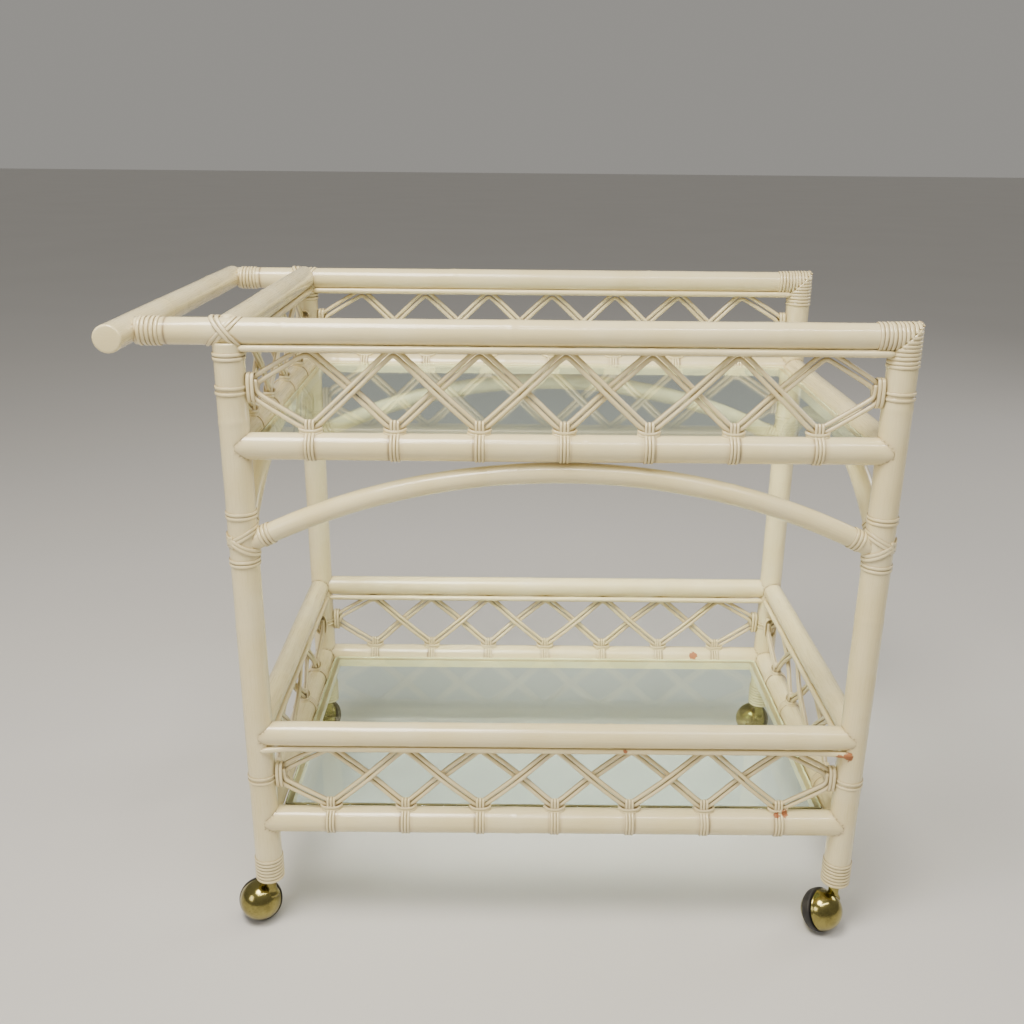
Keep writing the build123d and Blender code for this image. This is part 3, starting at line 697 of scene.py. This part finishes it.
# %% One gallery panel
class Panel:
    """A lattice between a base rail and a cap rail, laid out along its side and upwards."""

    def __init__(self, name, along, base, cap):
        self.name = name
        self.long = along == "x"
        side = name.split("_")[-1]
        low_corner = {"front": (0, -1), "back": (0, 1), "left": (-1, 0), "right": (1, 0)}[side]
        self.outward = np.array([*low_corner, 0], float)
        self.along = np.array([1.0, 0, 0]) if self.long else np.array([0, 1.0, 0])
        self.origin = centre + self.outward * (half_y if self.long else half_x)
        self.bends = bends_long if self.long else bends_short
        self.end = (half_x if self.long else half_y) - leg_r - 1.4 * mm - cane_r
        (base_z, self.base_r), (cap_z, cap_r) = rail[base], rail[cap]
        self.base_z = base_z
        self.shift = face_shift[base]
        self.low = base_z + self.base_r + cane_r
        self.high = cap_z - cap_r - cane_r
        self.middle = (self.low + self.high) / 2
        self.pitch = self.bends[1] - self.bends[0]
        self.slope = 0.7
        for _ in range(12):      # rise and slope depend on each other, and settle in a few rounds
            self.rise = (2 * cane_r + pair_gap) / np.cos(self.slope)
            depth = outer_bend * np.sin(self.slope)
            self.slope = np.arctan((self.high - self.low - self.rise + 2 * depth) / self.pitch)
        self.low_corner = self.low - depth
        self.high_corner = self.high - self.rise + depth

    def place(self, s, out, z):
        """Points at s along, a distance outwards and at a height."""
        return (self.origin + np.multiply.outer(s, self.along)
                + np.multiply.outer(out, self.outward)
                + np.multiply.outer(z, np.array([0.0, 0, 1])))

    def corners(self, starts_low, upper):
        """Corner line of one cane, from its upright end at a leg to that at the other leg."""
        heights = np.where((np.arange(len(self.bends)) % 2 == 0) == starts_low,
                           self.low_corner, self.high_corner) + upper * self.rise
        ends = []
        for last in (0, -1):
            rising = heights[last] < self.middle
            way = 1 if rising else -1
            outer = upper != rising
            knee = 8 * mm if rising else 12 * mm
            turn_z = self.middle - way * knee
            run = self.end - abs(self.bends[last])
            outer_z = heights[last] + (0 if outer else -way * self.rise)
            steep = (turn_z - outer_z) / run
            inset = 0 if outer else 2 * cane_r + 0.3 * mm
            corner_z = turn_z if outer else turn_z + way * self.rise - steep * inset
            tip = 14 * mm if rising else 5 * mm
            ends.append((self.end - inset, corner_z, self.middle + way * (tip - inset / 2)))
        (s0, z0, tip0), (s1, z1, tip1) = ends
        inner = np.stack([self.bends, heights], -1)
        return np.concatenate([[[-s0, tip0], [-s0, z0]], inner, [[s1, z1], [s1, tip1]]])

    def cane(self, starts_low, upper):
        """One cane of one zigzag."""
        corners = self.corners(starts_low, upper)
        low_bend = corners[1:-1, 1] < self.middle
        roundness = np.where(low_bend == upper, inner_bend, outer_bend)
        line = rounded(corners, roundness)
        s, z = line.T
        step = (s - self.bends[0]) / self.pitch
        beyond = np.clip((np.abs(s) - self.bends[-1]) / (self.end - self.bends[-1]), 0, 1)
        between = np.sin(np.pi * step) ** 2
        near_leg = np.sin(np.pi / 2 * beyond) ** 2
        out = np.where(np.abs(s) < self.bends[-1], between, near_leg) * weave_depth
        out = out if starts_low else -out
        path = self.place(s, out, z)
        points, distance, angle = carry(path, self.outward, cane_r, cane_r, cane_columns)
        # painted shade and dirt where the canes meet the rails and run in behind the leg ties, and
        # painted shade on both edges of each cane that lie in the panel's plane, one facing its
        # partner
        tie = np.minimum(np.abs(z - self.low), np.abs(z - self.high))
        shade_and_grime = np.maximum(0.9 * np.exp(-tie / (3 * mm)), 0.6 * beyond ** 8)
        facing = np.cos(angle - np.pi / 2) if upper else np.cos(angle + np.pi / 2)
        shade_and_grime = np.maximum(shade_and_grime[:, None], np.abs(facing)[None] ** 5)
        return Skin(points, distance[:, None], cane_r * fold(angle), shade_and_grime)

    def canes(self):
        """All four canes."""
        return [self.cane(low, upper) for low in (True, False) for upper in (False, True)]


panels = [
    Panel("upper_gallery_front", "x", "tray_rail", "top_rail"),
    Panel("upper_gallery_back", "x", "tray_rail", "top_rail"),
    Panel("upper_gallery_left", "y", "tray_rail", "top_cross_bar"),
    Panel("lower_gallery_front", "x", "lower_base_rail", "lower_top_rail"),
    Panel("lower_gallery_back", "x", "lower_base_rail", "lower_top_rail"),
    Panel("lower_gallery_left", "y", "lower_base_rail", "lower_top_rail"),
    Panel("lower_gallery_right", "y", "lower_base_rail", "lower_top_rail"),
]
for panel in panels:
    make_piece(f"canes_{panel.name}", panel.canes(), cane_paint, "frame",
               [panel.name])

# %% [markdown]
# ## Turns of peel
# Peel is split from the stem's skin, flat inside and slightly crowned outside, and wound on wet.
# One turn is a flat oval section carried round an ellipse: a circle round the pole, tilted by
# adding height in step with the cosine of the angle. Upright turns make the rings, and tilted
# ones the crosses over a joint. Painted shade and dirt sit between the turns, so the value is
# high at a section's two edges and nothing on its crown.

# %% A turn of peel
turn_points = 32
peel_columns = 8


def wind(path, reference, looped, width=peel_width, thickness=peel_thickness):
    """Peel wound along a path, its width along the reference."""
    points, distance, angle = carry(path, reference, width / 2, thickness / 2, peel_columns, looped)
    # the last value is painted shade and dirt, high at the section's two edges between the turns
    return Skin(points, distance[:, None], width * fold(angle) / np.pi,
                np.abs(np.cos(angle)) ** 4, looped)


def turn(middle, axis, radius, tilt=0.0, toward=None, arc=None, shift=0.0, width=peel_width):
    """One turn round a pole, higher by radius * tan(tilt) * cos(angle) on the side of toward."""
    axis = unit(np.array(axis, float))
    if toward is None:
        toward = np.array([0.0, 0, 1]) if abs(axis[2]) < 0.5 else np.array([1.0, 0, 0])
    first = unit(np.array(toward, float) - axis * (axis @ np.array(toward, float)))
    second = np.cross(axis, first)
    looped = arc is None
    if looped:
        angle = np.arange(turn_points) * 2 * np.pi / turn_points
    else:
        angle = np.linspace(*np.radians(arc), turn_points)
    size = radius + 0.25 * mm
    path = (np.array(middle, float) + shift * axis + size * np.cos(angle)[:, None] * first
            + size * np.sin(angle)[:, None] * second
            + (size * np.tan(tilt) * np.cos(angle))[:, None] * axis)
    return wind(path, axis, looped, width)


# %% [markdown]
# ## Bindings of the galleries
# At each low bend three narrow bands go round the rail and climb over the bent canes. Their path
# is a circle with a bump: the radius plus a height times a flat-topped bell of the angle. Two
# wide turns then draw the canes together just above the rail. They sag a little in front and
# hide most of the bump. Beside each leg two upright turns are drawn over the cane ends, and two
# rings round the leg hold them.


# %% Bands over a bend, and collars round it
loop_points = 32
strap_width, strap_thickness, strap_step = 3.6 * mm, 2.2 * mm, 3.8 * mm
collar_width, collar_thickness = 4.4 * mm, 2.6 * mm
collar_half_width = 12.5 * mm
collar_half_depth = 6.2 * mm
collar_droop = 2.2 * mm
collar_height = 1.4 * mm         # of the collars' middle over the rail's top
collar_lifts = ((-0.4 * mm, collar_half_width - 0.8 * mm), (3.4 * mm, collar_half_width))
knot_width, knot_thickness = 4.6 * mm, 2.4 * mm
knot_half_depth, knot_half_height, knot_rise = 8.2 * mm, 16 * mm, 2 * mm
knot_shifts = (1.3 * mm, -3.2 * mm)


def strap(panel, s):
    """A band round the base rail that climbs over the two canes bent on top of it."""
    spread = np.linspace(-1, 1, 49)[:-1]
    angle = np.pi * (0.3 * spread + 0.7 * spread ** 3)
    over_canes = (panel.rise + 2 * cane_r - (outer_bend - inner_bend) * np.sin(panel.slope)
                  + 0.8 * mm)
    radius = panel.base_r + 0.25 * mm + over_canes * np.exp(-(angle / 0.2) ** 4)
    path = panel.place(np.full_like(angle, s), panel.shift + radius * np.sin(angle),
                       panel.base_z + radius * np.cos(angle))
    return wind(path, panel.along, True, strap_width, strap_thickness)


def collar(panel, s, height, half_width):
    """A turn round the canes of a bend: an oval loop, squarer than an ellipse, lower in front."""
    angle = np.arange(loop_points) * 2 * np.pi / loop_points
    cosine, sine = np.cos(angle), np.sin(angle)
    around = np.sign(cosine) * np.abs(cosine) ** 0.8 * half_width
    out = np.sign(sine) * np.abs(sine) ** 0.75 * collar_half_depth
    path = panel.place(s + around, out, height - collar_droop * np.abs(sine) ** 2)
    return wind(path, np.array([0.0, 0, 1]), True, collar_width, collar_thickness)


def knot(panel, s):
    """An upright turn over the cane ends beside a leg: a tall oval loop square to the panel."""
    angle = np.arange(loop_points) * 2 * np.pi / loop_points
    cosine, sine = np.cos(angle), np.sin(angle)
    out = np.sign(sine) * np.abs(sine) ** 0.6 * knot_half_depth
    rise = knot_rise + np.sign(cosine) * np.abs(cosine) ** 0.8 * knot_half_height
    path = panel.place(np.full_like(angle, s), out, panel.middle + rise)
    return wind(path, panel.along, True, knot_width, knot_thickness)


chance = np.random.default_rng(5)
for panel in panels:
    bindings = []
    for s in panel.bends:
        bindings += [strap(panel, s + way * strap_step) for way in (-1, 0, 1)]
        for lift, half_width in collar_lifts:
            shift, slack = chance.uniform(-0.6, 0.6, 2) * mm
            height = panel.base_z + panel.base_r + collar_height + lift
            bindings.append(collar(panel, s + shift, height, half_width + slack))
    bindings += [knot(panel, way * (panel.end + shift)) for way in (-1, 1)
                 for shift in knot_shifts]
    peel_piece(f"peel_ties_{panel.name}", bindings, ["gallery_bindings"])

ring_step = 6.4 * mm
leg_ties = []
for x, y in leg_axis.values():
    for z in (panels[0].middle, panels[3].middle):
        leg_ties += [turn((x, y, z), (0, 0, 1), leg_r, shift=way * ring_step / 2)
                     for way in (-1, 1)]
peel_piece("peel_ties_on_legs", leg_ties)

# %% [markdown]
# ## Bindings of the joints
# Where an arch meets a leg, two rings sit above and two below, with turns crossed over the joint
# between them and a few more round the arch itself. Each crossed strip is part of a tilted ring,
# so it passes over the arch on one side of the leg and under it on the other.

# %% Arch feet
foot_z = arch_crown_z - arch_rise + 8 * mm
cross_tilt = np.radians(29)
cross_shift = 5 * mm             # rising strips lie this much over the joint, falling ones under
strip_width = 4.9 * mm
upper_ring, lower_ring = 29 * mm, 24 * mm


def arch_foot(x, y):
    """Rings and crossed strips on one leg."""
    inward_x, inward_y = np.sign(centre[0] - x), np.sign(centre[1] - y)
    heights = [upper_ring + k * peel_step for k in range(2)]
    heights += [-lower_ring - k * peel_step for k in range(2)]
    made = [turn((x, y, foot_z), (0, 0, 1), leg_r, shift=height) for height in heights]
    for toward, outward, last in (((inward_x, 0, 0), (0, -inward_y, 0), 196),
                                  ((0, inward_y, 0), (-inward_x, 0, 0), 152)):
        turning = np.sign(np.cross((0, 0, 1), toward) @ np.array(outward, float))
        for way in (-1, 1):
            for k in (-0.5, 0.5):
                made.append(turn((x, y, foot_z), (0, 0, 1), leg_r + (0.9 * mm if way < 0 else 0),
                                 way * cross_tilt, toward, (-14 * turning, last * turning),
                                 way * cross_shift + k * strip_width, strip_width))
    return made


def arch_turns(side, line):
    """Turns round an arch near both its feet."""
    made = []
    travel, distance = along_path(line)
    for end in (0, distance[-1]):
        for k in range(3):
            at = abs(end - (26 * mm + k * peel_step))
            middle = np.array([np.interp(at, distance, line[:, i]) for i in range(3)])
            axis = np.array([np.interp(at, distance, travel[:, i]) for i in range(3)])
            made.append(turn(middle, axis, arch_r))
    return made


joint_turns = []
for x, y in leg_axis.values():
    joint_turns += arch_foot(x, y)
for side, line in arch_lines.items():
    joint_turns += arch_turns(side, line)
peel_piece("peel_at_arch_feet", joint_turns, ["joint_bindings"])

# %% [markdown]
# The left corners are lashed: strips cross over the rail above the leg, and two rings go round
# the leg below it. The mitred right corners are wound closed. A turn there stops at the mitre:
# at distance d short of the leg's axis it only exists where the pole stands more than d above
# the rail's axis, which is an arc of half angle arccos(d / r).

# %% Left corners and the push bar
lash_drop = 8.6 * mm             # from the rail's underside to the first ring on the leg
chance = np.random.default_rng(9)
lashings = []
for y in (front_y, back_y):
    for shift, tilt, radius in ((-3 * mm, -45, top_r), (1 * mm, 39, top_r + 1.3 * mm)):
        for k in (-0.5, 0.5):
            lashings.append(turn((left_x + shift + k * 6 * mm, y, top_z), (1, 0, 0), radius,
                                 np.radians(tilt), (0, 0, -1), width=strip_width))
    for k in range(2):
        ring_z = top_z - top_r - lash_drop - k * peel_step
        lashings.append(turn((left_x, y, ring_z), (0, 0, 1), leg_r))
    for k in range(5):
        lashings.append(turn((rail_start_x + (k + 0.6) * peel_step, y, top_z), (1, 0, 0), top_r,
                             np.radians(chance.uniform(-2, 2))))
peel_piece("peel_on_left_corners", lashings)


# %% Wound mitred corners
corner_turns = 11
corner_round = 3.4 * mm          # the first turns lie this much nearer the axes


def wound_corner(y):
    """Turns round rail and leg that meet on the mitre."""
    made = []
    mitre_r = (top_r + leg_r) / 2
    for k in range(corner_turns):
        d = (k + 0.5) * 4.5 * mm - leg_r + chance.uniform(-0.3, 0.3) * mm
        share = np.clip((d + leg_r) / (3 * leg_r), 0, 1)
        short = corner_round * (1 - np.clip((d + leg_r) / (10 * mm), 0, 1)) ** 2
        for axis, toward, radius in (((1, 0, 0), (0, 0, 1), mitre_r + (top_r - mitre_r) * share),
                                     ((0, 0, 1), (1, 0, 0), mitre_r + (leg_r - mitre_r) * share)):
            middle = np.array([right_x, y, top_z]) - d * np.array(axis, float)
            if d >= radius:
                tilt = np.radians(chance.uniform(-1.6, 1.6))
                made.append(turn(middle, axis, radius, tilt, toward=toward))
            else:
                half = np.degrees(np.arccos(np.clip(-d / radius, -1, 1)))
                if half > 12:
                    made.append(turn(middle, axis, radius - short, 0.0, toward, (-half, half)))
    return made


peel_piece("peel_on_mitred_corners", wound_corner(front_y) + wound_corner(back_y))

# %% Feet of the legs
foot_turns = [turn((x, y, leg_foot_z + (k + 0.5) * peel_step), (0, 0, 1), leg_r + 0.1 * mm)
              for x, y in leg_axis.values() for k in range(7)]
peel_piece("peel_on_leg_feet", foot_turns, ["foot_bindings"])

# %% [markdown]
# ## Trim rods
# Two thin rods run along the underside of each gallery's cap rail, one outside the bent canes
# and one inside, and hide their tops. A rod touches its rail, so its drop is worked out. On the
# lower tier the outer rods' tapered ends bend out and lap over the legs.


# %% Fourteen trim rods
rod_end_inset = 11.5 * mm        # from the leg's axis to a rod's end
lap_inset = 2.5 * mm             # the same, for an end that laps over the leg
lap_out = 5.6 * mm
lap_reach = 22 * mm
taper = 7 * mm


def trim_rod(panel, cap, way, seed):
    """A rod below a cap rail, outside its canes where way is 1 and inside where it is -1."""
    z, radius = rail[cap]
    drop = np.sqrt((radius + trim_r + 0.2 * mm) ** 2 - trim_outset ** 2)
    laps = way == 1 and cap == "lower_top_rail"
    reach = (half_x if panel.long else half_y) - (lap_inset if laps else rod_end_inset)
    s = np.linspace(-reach, reach, 240)
    from_end = reach - np.abs(s)
    out = way * (trim_outset + (lap_out * np.exp(-(from_end / lap_reach) ** 2) if laps else 0 * s))
    path = panel.place(s, out, np.full_like(s, z - drop))
    slim = 1 - np.clip(1 - from_end / taper, 0, 1) ** 2
    columns = 16
    angle = np.arange(columns) * 2 * np.pi / columns
    size = stem_radius(s + reach, angle, trim_r, seed) * (0.3 + 0.7 * slim[:, None])
    points, distance, angle = carry(path, np.array([0.0, 0, 1]), size, size, columns)
    # painted shade and dirt where the rod comes close to its rail
    return Skin(points, distance[:, None], trim_r * fold(angle), crease(points, path[:, None]))


rods = []
for number, panel in enumerate(panels):
    cap = "lower_top_rail" if panel.name.startswith("lower") else "top_rail"
    cap = "top_cross_bar" if panel.name == "upper_gallery_left" else cap
    rods += [trim_rod(panel, cap, way, 61 + 2 * number + way) for way in (1, -1)]
make_piece("rattan_trim_rods", rods, cane_paint, "frame", ["trim_rods"])

# %% [markdown]
# ## Glass shelves
# Plain float glass, 6 mm thick, slightly green. Its edges are ground round and look a deep
# green, because light reaches the eye there after a long way through the sheet. The outline is
# a rectangle with round corners: each point stands on a quarter circle about its own corner's
# centre. The rows go up the sheet and draw in by a half circle, so the edge is a pencil edge.

# %% The glass
glass_finish, shader, place, _ = new_finish(
    "green_float_glass", Base_Color=(0.80, 0.93, 0.87, 1), Transmission_Weight=1.0, IOR=1.46)
smears = place.noise(place.scaled(place, (3, 14, 1)), 6, 4.0, 0.6)
connect(shader, 0.01 + smears.above(0.52, 0.3) * 0.05, "Roughness")


def sheet_of_glass(node):
    """A ground sheet that fills its node's box."""
    low, high = (np.array(corner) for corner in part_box(node))
    thickness = high[2] - low[2]
    corner_r = 8 * mm
    columns = 64
    angle = (np.arange(columns) + 0.5) * 2 * np.pi / columns
    edge = np.linspace(-np.pi / 2, np.pi / 2, 9)
    inset = np.concatenate([[6 * mm, 4 * mm], thickness / 2 * (1 - np.cos(edge)), [4 * mm, 6 * mm]])
    height = np.concatenate([[0, 0], thickness / 2 * (1 + np.sin(edge)), [thickness, thickness]])
    way = np.stack([np.cos(angle), np.sin(angle)], -1)
    corner = np.sign(way) * ((high - low)[:2] / 2 - corner_r)
    flat = ((low + high)[:2] / 2 + corner[None]
            + (corner_r - inset)[:, None, None] * way[None])
    points = np.concatenate([flat, np.broadcast_to(low[2] + height[:, None, None],
                                                   (len(height), columns, 1))], -1)
    return Skin(points, height[:, None], angle, 0.0)


for level in ("top", "lower"):
    sheet = make_piece(f"{level}_glass_sheet", [sheet_of_glass(f"{level}_glass")], glass_finish,
                       f"{level}_shelf", [f"{level}_glass"])
    sheet.visible_shadow = False     # lamps shine through clear glass

# %% [markdown]
# ## Ball casters
# A ball caster is a ball split in two. The brass hood is the fixed half and carries the stem;
# the other half is a dished wheel with a dark tyre between them, on a tilted axle. Everything is
# turned on a lathe about that axle, so each piece is a profile of radius against distance along
# the axle, carried round a full turn.

# %% Turning a profile
lathe_columns = 56
to_the_axis = 0.9995             # a dome's profile stops just short of the axis


def turned(profile, middle, axis, shade_and_grime=0.0):
    """A surface of revolution about an axis through a point. The profile is (radius, distance)
    pairs that start and end near the axis and climb on their outer side."""
    axis = unit(np.array(axis, float))
    helper = np.array([1.0, 0, 0]) if abs(axis[0]) < 0.8 else np.array([0, 1.0, 0])
    first = unit(np.cross(axis, helper))
    second = np.cross(axis, first)
    angle = np.arange(lathe_columns) * 2 * np.pi / lathe_columns
    radius, along = np.array(profile, float).T
    round_the_axis = np.cos(angle)[:, None] * first + np.sin(angle)[:, None] * second
    points = (np.array(middle, float) + radius[:, None, None] * round_the_axis[None]
              + along[:, None, None] * axis)
    return Skin(points, along[:, None], radius[:, None] * fold(angle), shade_and_grime)


def ball_arc(radius, low, high, count=24):
    """Profile of a ball between two stations along its axis."""
    tilt = np.linspace(np.arcsin(low / radius), np.arcsin(high / radius), count)
    return np.stack([radius * np.cos(tilt), radius * np.sin(tilt)], -1).tolist()


# %% [markdown]
# The brass is thin plate, lacquered once, and has gone dull and brownish where the lacquer
# failed. Its colour is a mix of a clean and a tarnished brass by large soft noise, and the
# tarnish is rougher than the metal round it.


# %% Brass, rubber and steel
def metal(name, bright, dull, low_rough, high_rough, scale):
    """A metal that is bright in places and tarnished in others."""
    material, shader, place, _ = new_finish(name, Metallic=1.0)
    patch = place.noise(place, scale, 5.0, 0.62)
    fine = place.noise(place, scale * 14, 3.0, 0.6)
    tarnish = (patch + (fine - 0.5) * 0.35).above(0.43, 0.24)
    connect(shader, tarnish.mix(bright, dull), "Base Color")
    connect(shader, low_rough + tarnish * (high_rough - low_rough) + fine * 0.06, "Roughness")
    bump = fine.node("ShaderNodeBump", None,
                     {"Height": fine, "Strength": 0.25, "Distance": 0.08 * mm})
    connect(shader, bump, "Normal")
    return material


brass = metal("tarnished_brass", (0.33, 0.285, 0.095, 1), (0.17, 0.145, 0.05, 1), 0.12, 0.25, 34)
steel = metal("zinc_steel", (0.60, 0.60, 0.58, 1), (0.34, 0.33, 0.31, 1), 0.28, 0.5, 160)
screw_steel = metal("screw_steel", (0.45, 0.44, 0.42, 1), (0.16, 0.10, 0.07, 1), 0.35, 0.7, 300)

rubber, shader, place, _ = new_finish("dark_tyre_rubber", Specular_IOR_Level=0.4)
scuff = place.noise(place, 180, 4.0, 0.65)
dust = place.noise(place, 40, 3.0).above(0.45, 0.3)
connect(shader, (dust * 0.6).mix((0.018, 0.017, 0.016, 1), (0.075, 0.066, 0.055, 1)), "Base Color")
connect(shader, 0.42 + scuff * 0.3, "Roughness")
connect(shader, scuff.node("ShaderNodeBump", None,
                           {"Height": scuff, "Strength": 0.4, "Distance": 0.2 * mm}), "Normal")

# %% Four casters
hood_inset = 1.8 * mm            # hood below the tyre's tread
dome_inset = 1.4 * mm
hood_plate = 1.6 * mm
hood_face = 1.5 * mm             # hood rim from the ball's centre, along the axle
tyre_near, tyre_far = -1.0 * mm, -14.0 * mm
rim_r = 19 * mm
boss_r = 6.5 * mm
joints = {joint["name"]: joint for joint in frame["joints"]}

for place_name, (x, y) in leg_axis.items():
    roll = joints[f"roll_{place_name}"]
    ball, axle = np.array(roll["pos_m"]), np.array(roll["axis"])
    ball_r = ball[2]
    hood_r, dome_r = ball_r - hood_inset, ball_r - dome_inset

    outside = ball_arc(hood_r, hood_face + 1.2 * mm, hood_r * to_the_axis)
    rim = [(hood_r - 0.9 * mm, hood_face), (hood_r - 0.1 * mm, hood_face),
           (hood_r + 0.5 * mm, hood_face + 0.6 * mm)]
    inner_r = hood_r - hood_plate
    inside = ball_arc(inner_r, hood_face + 0.4 * mm, inner_r * 0.999, 14)
    hood = turned(inside[::-1] + rim + outside, ball, axle)
    boss_low, boss_high = ball_r + 14 * mm, leg_foot_z - 2.4 * mm
    collar_rise = np.linspace(0, 1, 8)
    flare = boss_r + 3.2 * mm * (1 - np.sin(collar_rise * np.pi / 2))
    boss_profile = [(2 * mm, boss_low - 4 * mm), (boss_r + 3 * mm, boss_low - 3 * mm)]
    boss_profile += np.stack([flare, boss_low + collar_rise * 9 * mm], -1).tolist()
    boss_profile += [(boss_r, boss_high - 0.8 * mm), (boss_r - 0.8 * mm, boss_high),
                     (4.2 * mm, boss_high)]
    boss = turned(boss_profile, (x, y, 0), (0, 0, 1))
    make_piece(f"brass_hood_{place_name}", [hood, boss], brass, f"swivel_{place_name}",
               [f"caster_hood_{place_name}"])

    dome_edge = np.sqrt(dome_r ** 2 - tyre_far ** 2)
    wheel = ball_arc(dome_r, -dome_r * to_the_axis, tyre_far - 0.9 * mm)
    wheel += [(dome_edge + 0.5 * mm, tyre_far - 0.5 * mm), (dome_edge, tyre_far + 0.1 * mm),
              (rim_r, tyre_far + 0.2 * mm), (rim_r, -2 * mm), (rim_r - 3 * mm, -2 * mm),
              (rim_r - 4 * mm, -5 * mm), (7.2 * mm, -5 * mm), (7 * mm, 1.6 * mm),
              (6.6 * mm, 2 * mm), (2.6 * mm, 2 * mm)]
    make_piece(f"brass_wheel_{place_name}", [turned(wheel, ball, axle)], brass,
               f"wheel_{place_name}", [f"caster_wheel_{place_name}"])

    tread = ball_arc(ball_r, tyre_far + 1.2 * mm, tyre_near - 1.2 * mm, 12)
    near_r = np.sqrt(ball_r ** 2 - tyre_near ** 2)
    far_r = np.sqrt(ball_r ** 2 - tyre_far ** 2)
    tyre = [(rim_r, tyre_far), (far_r - 1.4 * mm, tyre_far),
            (far_r - 0.3 * mm, tyre_far + 0.4 * mm)]
    tyre += tread + [(near_r - 0.4 * mm, tyre_near - 0.4 * mm), (near_r - 1.4 * mm, tyre_near),
                     (rim_r, tyre_near), (rim_r - 0.02 * mm, (tyre_near + tyre_far) / 2)]
    skin = turned(tyre, ball, axle)
    skin.looped = True
    make_piece(f"rubber_tyre_{place_name}", [skin], rubber, f"wheel_{place_name}",
               [f"caster_tyre_{place_name}"])

# %% [markdown]
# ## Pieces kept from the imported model
# The sockets, stems, axles, screws and battens have the right shape already. They only need
# their finish.


# %% Finishes of the kept pieces
def refinish(node, material):
    """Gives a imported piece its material."""
    slots = frame["nodes"][node].data.materials
    slots.clear()
    slots.append(material)


refinish("glass_battens", batten_paint)
refinish("joint_screws", screw_steel)
refinish("caster_sockets", brass)
for place_name in leg_axis:
    refinish(f"caster_stem_{place_name}", steel)
    refinish(f"caster_axle_{place_name}", steel)

# %% [markdown]
# ## Studio
# A wide flat pale floor in a dim warm room. One soft light hangs overhead, two weaker ones stand
# at the front left and the back right, and a long tube above the front draws thin highlights
# along the poles. The eye stands in front of the cart, a little above its handle, looking down.

# %% Floor
floor_mesh = bpy.data.meshes.new("studio_floor")
reach = 30.0
floor_corners = [(-reach, -reach, 0), (reach, -reach, 0), (reach, reach, 0), (-reach, reach, 0)]
floor_mesh.from_pydata(floor_corners, [], [(0, 1, 2, 3)])
floor = bpy.data.objects.new("studio_floor", floor_mesh)
bpy.context.scene.collection.objects.link(floor)
floor_finish, shader, place, _ = new_finish("pale_floor", Roughness=0.6)
tone = place.noise(place, 1.2, 3.0)
connect(shader, tone.mix((0.60, 0.585, 0.56, 1), (0.65, 0.635, 0.61, 1)), "Base Color")
floor_mesh.materials.append(floor_finish)

# %% Lights
world = bpy.data.worlds.new("soft_room")
world.use_nodes = True
world.node_tree.nodes["Background"].inputs["Color"].default_value = (1.0, 0.965, 0.90, 1)
world.node_tree.nodes["Background"].inputs["Strength"].default_value = 0.32
bpy.context.scene.world = world


def soft_light(name, position, target, size, power, colour):
    """A rectangular area light aimed at a point."""
    lamp = bpy.data.lights.new(name, "AREA")
    lamp.shape = "RECTANGLE"
    lamp.size, lamp.size_y = size
    lamp.energy = power
    lamp.color = colour
    holder = bpy.data.objects.new(name, lamp)
    bpy.context.scene.collection.objects.link(holder)
    holder.location = position
    toward = Vector(target) - Vector(position)
    holder.rotation_euler = toward.to_track_quat("-Z", "Y").to_euler()


soft_light("overhead", (-0.5, -0.8, 2.5), (0, 0, 0.4), (0.9, 0.9), 70, (1.0, 0.94, 0.84))
soft_light("front_left", (-2.4, -2.0, 1.7), (0, 0, 0.4), (1.2, 1.2), 26, (1.0, 0.95, 0.88))
soft_light("back_right", (3.2, 1.6, 1.9), (0, 0, 0.4), (1.2, 1.2), 30, (1.0, 0.97, 0.93))
soft_light("tube", (0.5, -1.3, 2.5), (0, 0, 0.4), (2.4, 0.1), 26, (1.0, 0.97, 0.92))

# %% Camera
eye = np.array([-0.0061, -1.3616, 0.9722])
yaw, pitch, roll = 0.0012, 0.3394, 0.0092
forward = np.array([np.sin(yaw) * np.cos(pitch), np.cos(yaw) * np.cos(pitch), -np.sin(pitch)])
level = np.array([np.cos(yaw), -np.sin(yaw), 0.0])
upward = np.cross(level, forward)
right = np.cos(roll) * level + np.sin(roll) * upward
upward = -np.sin(roll) * level + np.cos(roll) * upward
lens = bpy.data.cameras.new("eye")
lens.sensor_width = 36.0
lens.lens = 37.4
camera = bpy.data.objects.new("eye", lens)
bpy.context.scene.collection.objects.link(camera)
pose = np.eye(4)
pose[:3, 0], pose[:3, 1], pose[:3, 2], pose[:3, 3] = right, upward, -forward, eye
camera.matrix_world = Matrix(pose.tolist())
bpy.context.scene.camera = camera
